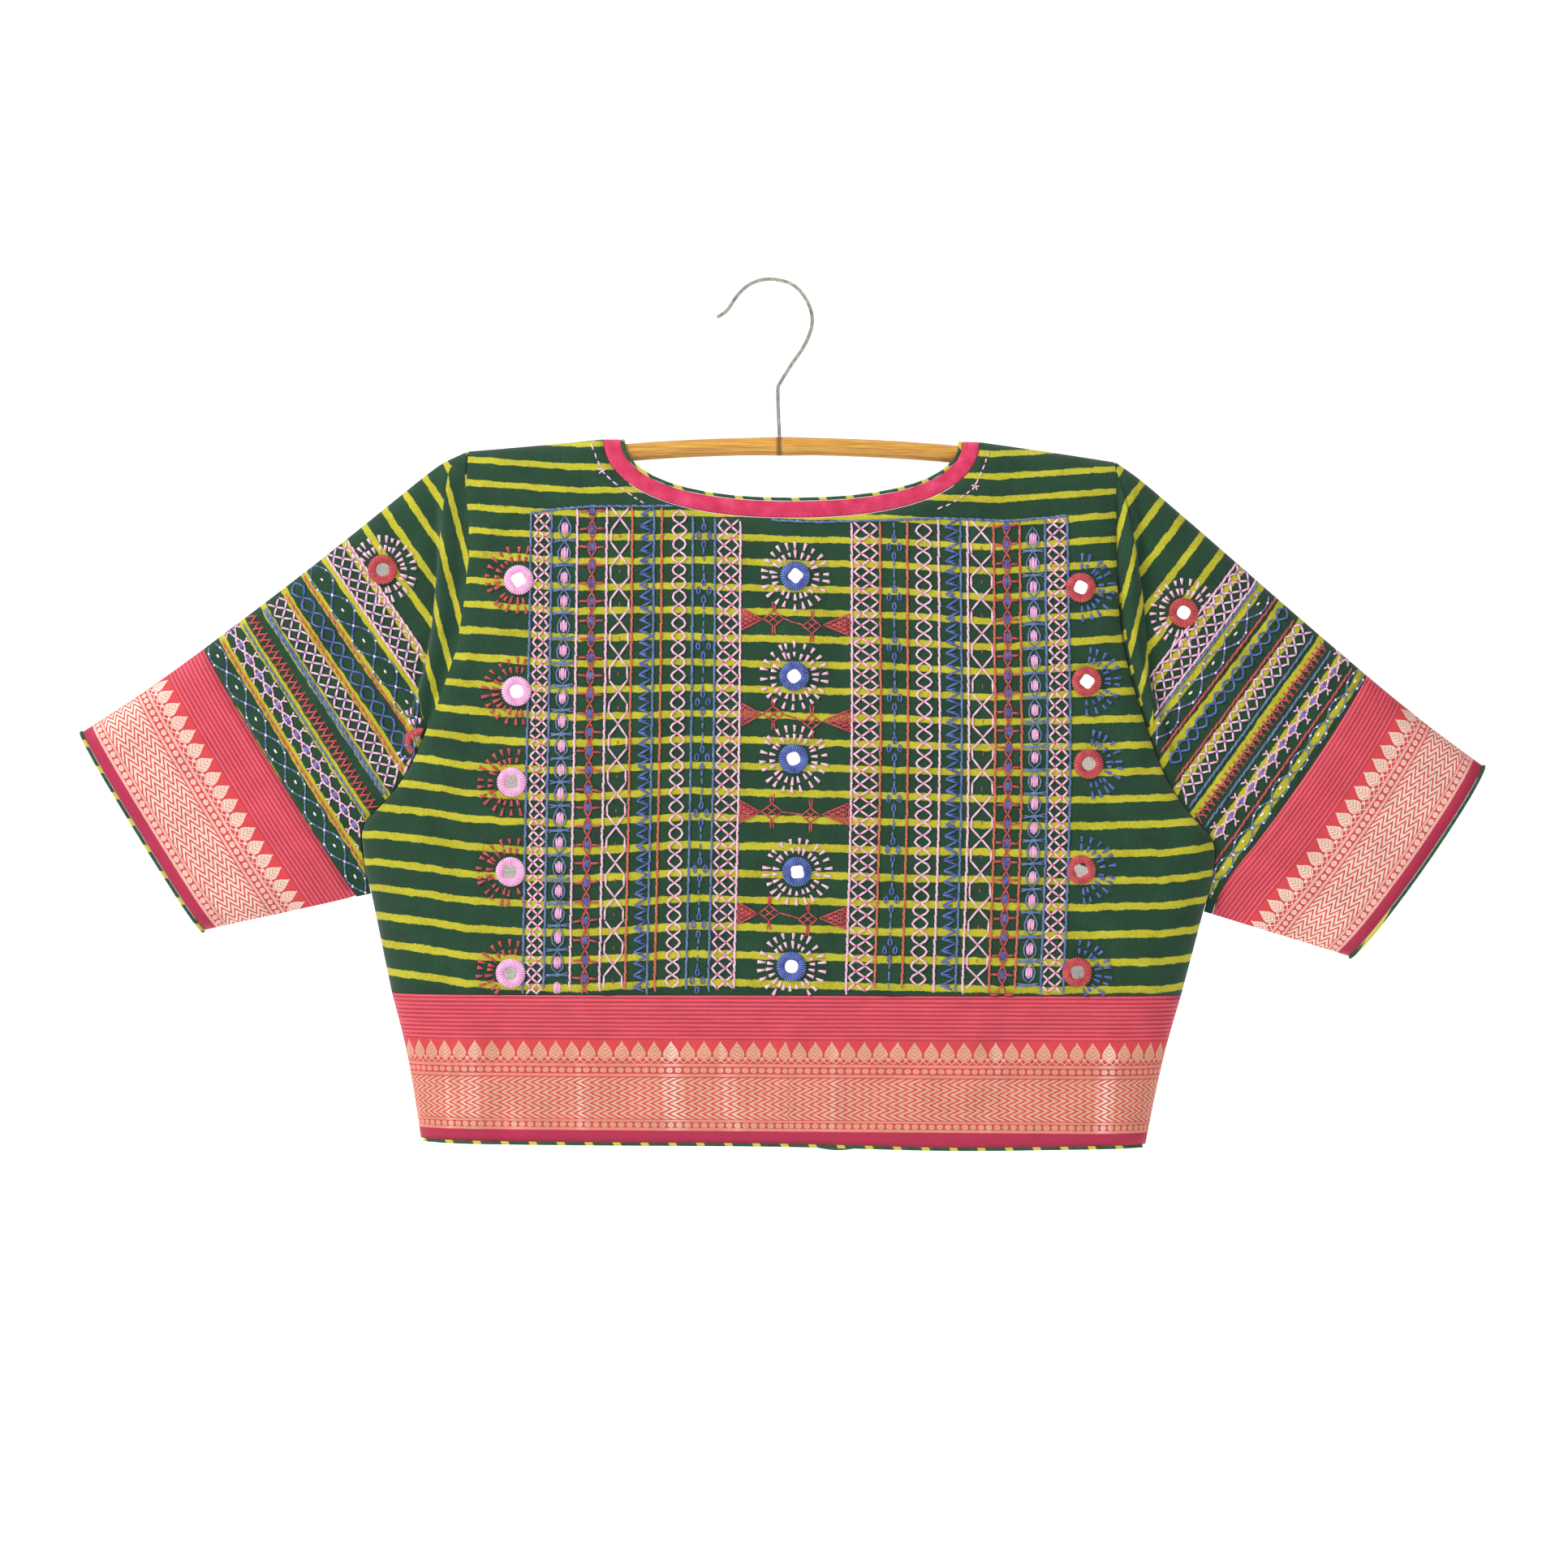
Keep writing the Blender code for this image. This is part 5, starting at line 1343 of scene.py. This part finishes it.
# machine stitching along the binding's lower edge, a little in from it
TOPSTITCH_IN = 1.2
TOPSTITCH = 2.2
binding = surface(bindings["neck_binding_back"])
edge = []
for x in np.arange(-99.0, 118.0, 1.0):
    for z in np.arange(-140.0, -84.0, 0.25):
        if touch(binding, x, z)[0] is not None:
            edge.append((x, z))
            break
topstitch = Needlework(lambda x, z: (x, z), -150.0, -60.0)
gone = 0.0
last = None
for (ax, az), (bx, bz) in zip(edge, edge[1:]):
    reach = dist((ax, az), (bx, bz))
    spot = (ax - (bz - az) / reach * TOPSTITCH_IN, az + (bx - ax) / reach * TOPSTITCH_IN)
    gone += reach
    if last is None:
        last = spot
    elif gone > TOPSTITCH:
        topstitch.sew("rose", [last, spot], 0.2, shake=0.05)
        last = None
        gone = 0.0
make_threads("neck_topstitch", topstitch, bindings["neck_binding_back"], (-1,))
# the rays of each column's mirrors: from and to which degree, how many, and their colour
FANS = {"left": (76, 284, 14, "red"), "middle": (5, 350, 22, "pink"), "right": (-86, 86, 12, "blue")}
rays = Needlework(lambda x, z: (x, z), BLOCK_LOW, -100.0)
for chip in chips:
    column = chip.node.split("_")[1]
    if column in FANS:
        first, last, count, colour = FANS[column]
        rays.rays(chip.centre.x, chip.centre.z, first, last, count, colour)
make_threads("back_mirror_rays", rays, back_panel, (-1,))

# Sleeve embroidery: bands of the same stitches round each sleeve, parallel to the cuff, between the
# printed stripes, and two rounds of rays about the sleeve mirrors.


class ArmWork(Needlework):
    """Needlework whose rows run round a sleeve, with three stitches that only the sleeves have."""

    def lattices(self, row):
        """Two blue threads in long waves that cross, dotted with white, a white dot in each gap."""
        middle, half = (row.left + row.right) / 2, (row.right - row.left) / 2
        z = self.high
        while z > self.low:
            for side in (-1, 1):
                wave = [middle + side * half * sin(pi * k / 6) for k in range(7)]
                route = [(x, z - row.pitch * k / 6) for k, x in enumerate(wave)]
                for k, (start, end) in enumerate(zip(route, route[1:])):
                    self.sew(row.colour, [start, end], 0.46, shake=0.06)
                    if k % 2 == 0:
                        x, top = start
                        self.sew(row.tie, [(x, top + 0.7), (x + 0.2, top - 0.7)], 0.54)
            gap = z - row.pitch / 2
            self.sew(row.tie, [(middle, gap + 1.1), (middle, gap - 1.1)], 0.54)
            z -= row.pitch

    def thorns(self, row):
        """Close herringbone in red: slanting stitches that cross near both edges."""
        z = self.high
        while z > self.low:
            self.sew(row.colour, [(row.left, z), (row.right, z - row.pitch * 0.8)], 0.5)
            self.sew(row.colour, [(row.right, z - row.pitch * 0.4), (row.left, z - row.pitch * 1.2)], 0.5)
            z -= row.pitch

    def rosettes(self, row):
        """Blue satin lozenges held by pink threads that cross between them, with pink horns."""
        middle = (row.left + row.right) / 2
        half = (row.right - row.left) / 2
        z = self.high - 3.0
        while z > self.low:
            for k in (-1, 0, 1):
                reach = 2.3 - 0.8 * abs(k)
                at = middle + k * 0.8
                self.sew(row.tie, [(at, z + reach), (at, z - reach)], 0.52, shake=0.08)
            for side in (-1, 1):
                swing = [(1.7, 0.0), (1.2, 2.4), (0.0, row.pitch / 2)]
                swing += [(-1.2, row.pitch - 2.4), (-1.7, row.pitch)]
                route = [(middle + side * x, z - y) for x, y in swing]
                for start, end in zip(route, route[1:]):
                    self.sew(row.colour, [start, end], 0.52, shake=0.08)
                knee = (middle + side * half * 0.72, z - 0.6 * side)
                self.sew(row.colour, [(middle + side * 1.5, z), knee], 0.52)
                for lean in (-2.2, 1.2):
                    self.sew(row.colour, [knee, (middle + side * half, z - 0.6 * side + lean)], 0.46)
            z -= row.pitch


BANDS = {
    "left": [
        cord(83.4, "pink"),
        Column(Needlework.net, 84.2, 96.8, 7.6, "pink", "violet"),
        cord(97.8, "pink"),
        Column(ArmWork.lattices, 101.0, 112.6, 20.5, "blue", "white"),
        cord(114.2, "ember"),
        Column(Needlework.knots, 117.2, 124.4, 9.8, "blue"),
        cord(127.8, "ember"),
        Column(Needlework.herringbone, 129.2, 139.4, 7.4, "pink", "violet"),
        cord(141.4, "slate"),
        cord(142.8, "slate"),
        Column(ArmWork.thorns, 147.6, 153.6, 3.9, "red"),
        cord(156.4, "slate"),
        Column(ArmWork.rosettes, 158.2, 168.4, 9.8, "pink", "violet"),
        cord(170.8, "ember"),
        Column(ArmWork.lattices, 172.8, 181.4, 20.5, "slate", "white"),
    ],
    "right": [
        cord(87.6, "pink"),
        Column(Needlework.net, 88.4, 101.2, 7.6, "pink", "violet"),
        cord(102.2, "pink"),
        cord(103.6, "slate"),
        Column(ArmWork.lattices, 105.8, 115.0, 20.6, "violet", "white"),
        cord(116.6, "red"),
        Column(Needlework.knots, 121.0, 127.4, 8.2, "blue"),
        cord(131.6, "red"),
        Column(Needlework.herringbone, 133.2, 143.4, 7.4, "pink", "violet"),
        cord(145.4, "slate"),
        Column(ArmWork.thorns, 149.8, 155.8, 3.9, "red"),
        cord(158.0, "slate"),
        Column(ArmWork.rosettes, 160.2, 170.4, 9.8, "pink", "violet"),
        cord(172.8, "red"),
        Column(ArmWork.lattices, 174.4, 181.6, 18.0, "slate", "white"),
    ],
}
# from and to which degree the rays stand about a mirror, and about the tucked one's outer part
ARM_FANS = {"left": (-98, 155, 19), "right": (20, 280, 19)}
TUCKED_FANS = ((66, 112, 4), (212, 262, 4))


def arm_field(arm):
    """Turns a place on the flat field of one sleeve into one on the blouse: x is how far out from
    the shoulder tip, and z runs down along the cuff's direction."""
    _, cuff, out = arm_lines(arm)

    def place(x, z):
        x = x - fanned(arm, -z, x)
        return arm.tip_x + out[0] * x - cuff[0] * z, arm.tip_z + out[1] * x - cuff[1] * z

    return place


for arm in ARMS:
    sewing = ArmWork(arm_field(arm), -260.0, 0.0)
    for column in BANDS[arm.name]:
        sewing.high = -column.left * sin(radians(CUFF_SKEW)) - 1.0
        column.stitch(sewing, column)
    shell, cover = sleeves[arm.name], heads[arm.name]
    make_threads("sleeve_embroidery_" + arm.name, sewing, shell, (-1, 1), cover)
    for side, face in (("back", -1), ("front", 1)):
        rays = Needlework(lambda x, z: (x, z), -400.0, 0.0)
        for chip in chips:
            if chip.node.startswith("mirror_sleeve_" + arm.name) and chip.normal.y * face > 0:
                rays.rays(chip.centre.x, chip.centre.z, *ARM_FANS[arm.name], "pink")
        if arm.name == "left" and face < 0:
            for fan in TUCKED_FANS:
                rays.rays(TUCKED_X, TUCKED_Z, *fan, "pink")
        name = "sleeve_mirror_rays_" + arm.name + "_" + side
        make_threads(name, rays, shell, (face,), cover if face < 0 else None)

# Hanger bar: a length of bamboo about 10 mm thick and a little bent, varnished, with its knots as
# darker rings. The shoulders hang on it, and the hook's stem stands in a hole at its middle.

KNOT_PITCH = 112.0
KNOT_FROM = 6.0

def bamboo(node):
    """Varnished bamboo: straight fine grain along the bar, dark dips at the knots, a soft gloss."""
    place = node("TexCoord", out=3)
    scaled = node("Mapping", {0: place, 3: (1000.0,) * 3})
    stretched = node("Mapping", {0: scaled, 3: (0.02, 0.9, 0.9)})
    grain = node("TexNoise", {"Vector": stretched, "Scale": 1.6, "Detail": 6.0, "Roughness": 0.6})
    colour = node(
        "ValToRGB", {0: grain},
        stops=[(0.28, linear("#996012")), (0.5, linear("#CC902C")), (0.72, linear("#E5B55A"))],
    )
    parts = node("SeparateXYZ", {0: scaled}).node.outputs
    off = node("Math", {0: parts[0], 1: KNOT_FROM}, operation="SUBTRACT")
    off = node("Math", {0: off, 1: KNOT_PITCH / 2}, operation="PINGPONG")
    ring = node("MapRange", {0: off, 1: 2.2, 2: 0.6})
    colour = node("Mix", {0: ring, 6: colour, 7: linear("#7A4E16")}, out=2, data_type="RGBA")
    height = node("Math", {0: ring, 1: -1.5, 2: grain}, operation="MULTIPLY_ADD")
    return {
        "Base Color": colour,
        "Roughness": node("MapRange", {0: grain, 3: 0.28, 4: 0.45}),
        "Normal": node("Bump", {"Strength": 0.4, "Distance": 0.0004, "Height": height}),
        "Coat Weight": 0.35,
        "Coat Roughness": 0.2,
    }


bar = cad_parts["hanger_bar"]
bar.data.materials.clear()
bar.data.materials.append(new_material("varnished_bamboo", bamboo))

# Hook: bare drawn steel wire, 2 mm thick, dulled by age. It is bent by hand into an open hook, and
# its stem is pushed into the bar.


def steel_wire(node):
    """Drawn steel: a grey metal gleam, broken by duller patches."""
    place = node("TexCoord", out=3)
    scaled = node("Mapping", {0: place, 3: (1000.0,) * 3})
    dull = node("TexNoise", {"Vector": scaled, "Scale": 0.5, "Detail": 4.0})
    colour = node(
        "ValToRGB", {0: dull},
        stops=[(0.3, linear("#7C7770")), (0.6, linear("#A8A39A")), (0.8, linear("#C2BDB2"))],
    )
    return {
        "Base Color": colour,
        "Metallic": 1.0,
        "Roughness": node("MapRange", {0: dull, 3: 0.25, 4: 0.5}),
        "Normal": node("Bump", {"Strength": 0.2, "Distance": 0.0002, "Height": dull}),
    }


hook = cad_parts["hanger_hook"]
hook.data.materials.clear()
hook.data.materials.append(new_material("drawn_steel_wire", steel_wire))

# Room: a plain pale floor and far wall of matt paper, three soft lamps and an even white sky, and
# the camera square to the blouse's back, level with its middle.

VIEW_DISTANCE = 1.69
VIEW_X = 0.0086
VIEW_Z = -0.2783
camera = bpy.data.objects.new("camera", bpy.data.cameras.new("camera"))
bpy.context.scene.collection.objects.link(camera)
camera.data.lens = 70.0
camera.location = (VIEW_X, -VIEW_DISTANCE, VIEW_Z)
camera.rotation_euler = (pi / 2, 0.0, 0.0)
bpy.context.scene.camera = camera


def pale(node):
    """Matt white paper, lit a little from within so that it stays pale and without shadows."""
    return {
        "Base Color": linear("#F6F6F5"),
        "Roughness": 0.9,
        "Emission Color": linear("#FFFFFF"),
        "Emission Strength": 0.42,
    }


PALE = new_material("lit_pale_paper", pale)
for name, place, turn, size in (
    ("floor", (0.0, 0.0, -1.5), (0.0, 0.0, 0.0), 14.0),
    ("far_wall", (0.0, 4.0, 0.0), (pi / 2, 0.0, 0.0), 14.0),
):
    bpy.ops.mesh.primitive_plane_add(size=size, location=place, rotation=turn)
    bpy.context.object.name = name
    bpy.context.object.data.materials.append(PALE)

bpy.context.scene.view_settings.view_transform = "Standard"
world = bpy.data.worlds.new("soft_room")
bpy.context.scene.world = world
world.use_nodes = True
world.node_tree.nodes["Background"].inputs["Color"].default_value = linear("#FFFFFF")
world.node_tree.nodes["Background"].inputs["Strength"].default_value = 0.46
Lamp = namedtuple("Lamp", "name place size power")
for lamp in (
    Lamp("key", (-1.3, -0.95, 1.15), 0.7, 38.0),
    Lamp("fill", (0.1, -3.3, 0.3), 2.6, 17.0),
    Lamp("rear", (0.8, 2.0, 1.4), 2.0, 12.0),
):
    light = bpy.data.objects.new(lamp.name, bpy.data.lights.new(lamp.name, "AREA"))
    bpy.context.scene.collection.objects.link(light)
    light.data.shape = "DISK"
    light.data.size = lamp.size
    light.data.energy = lamp.power
    light.location = lamp.place
    aim = Vector((0.0, 0.0, -0.25)) - Vector(lamp.place)
    light.rotation_euler = aim.to_track_quat("-Z", "Y").to_euler()
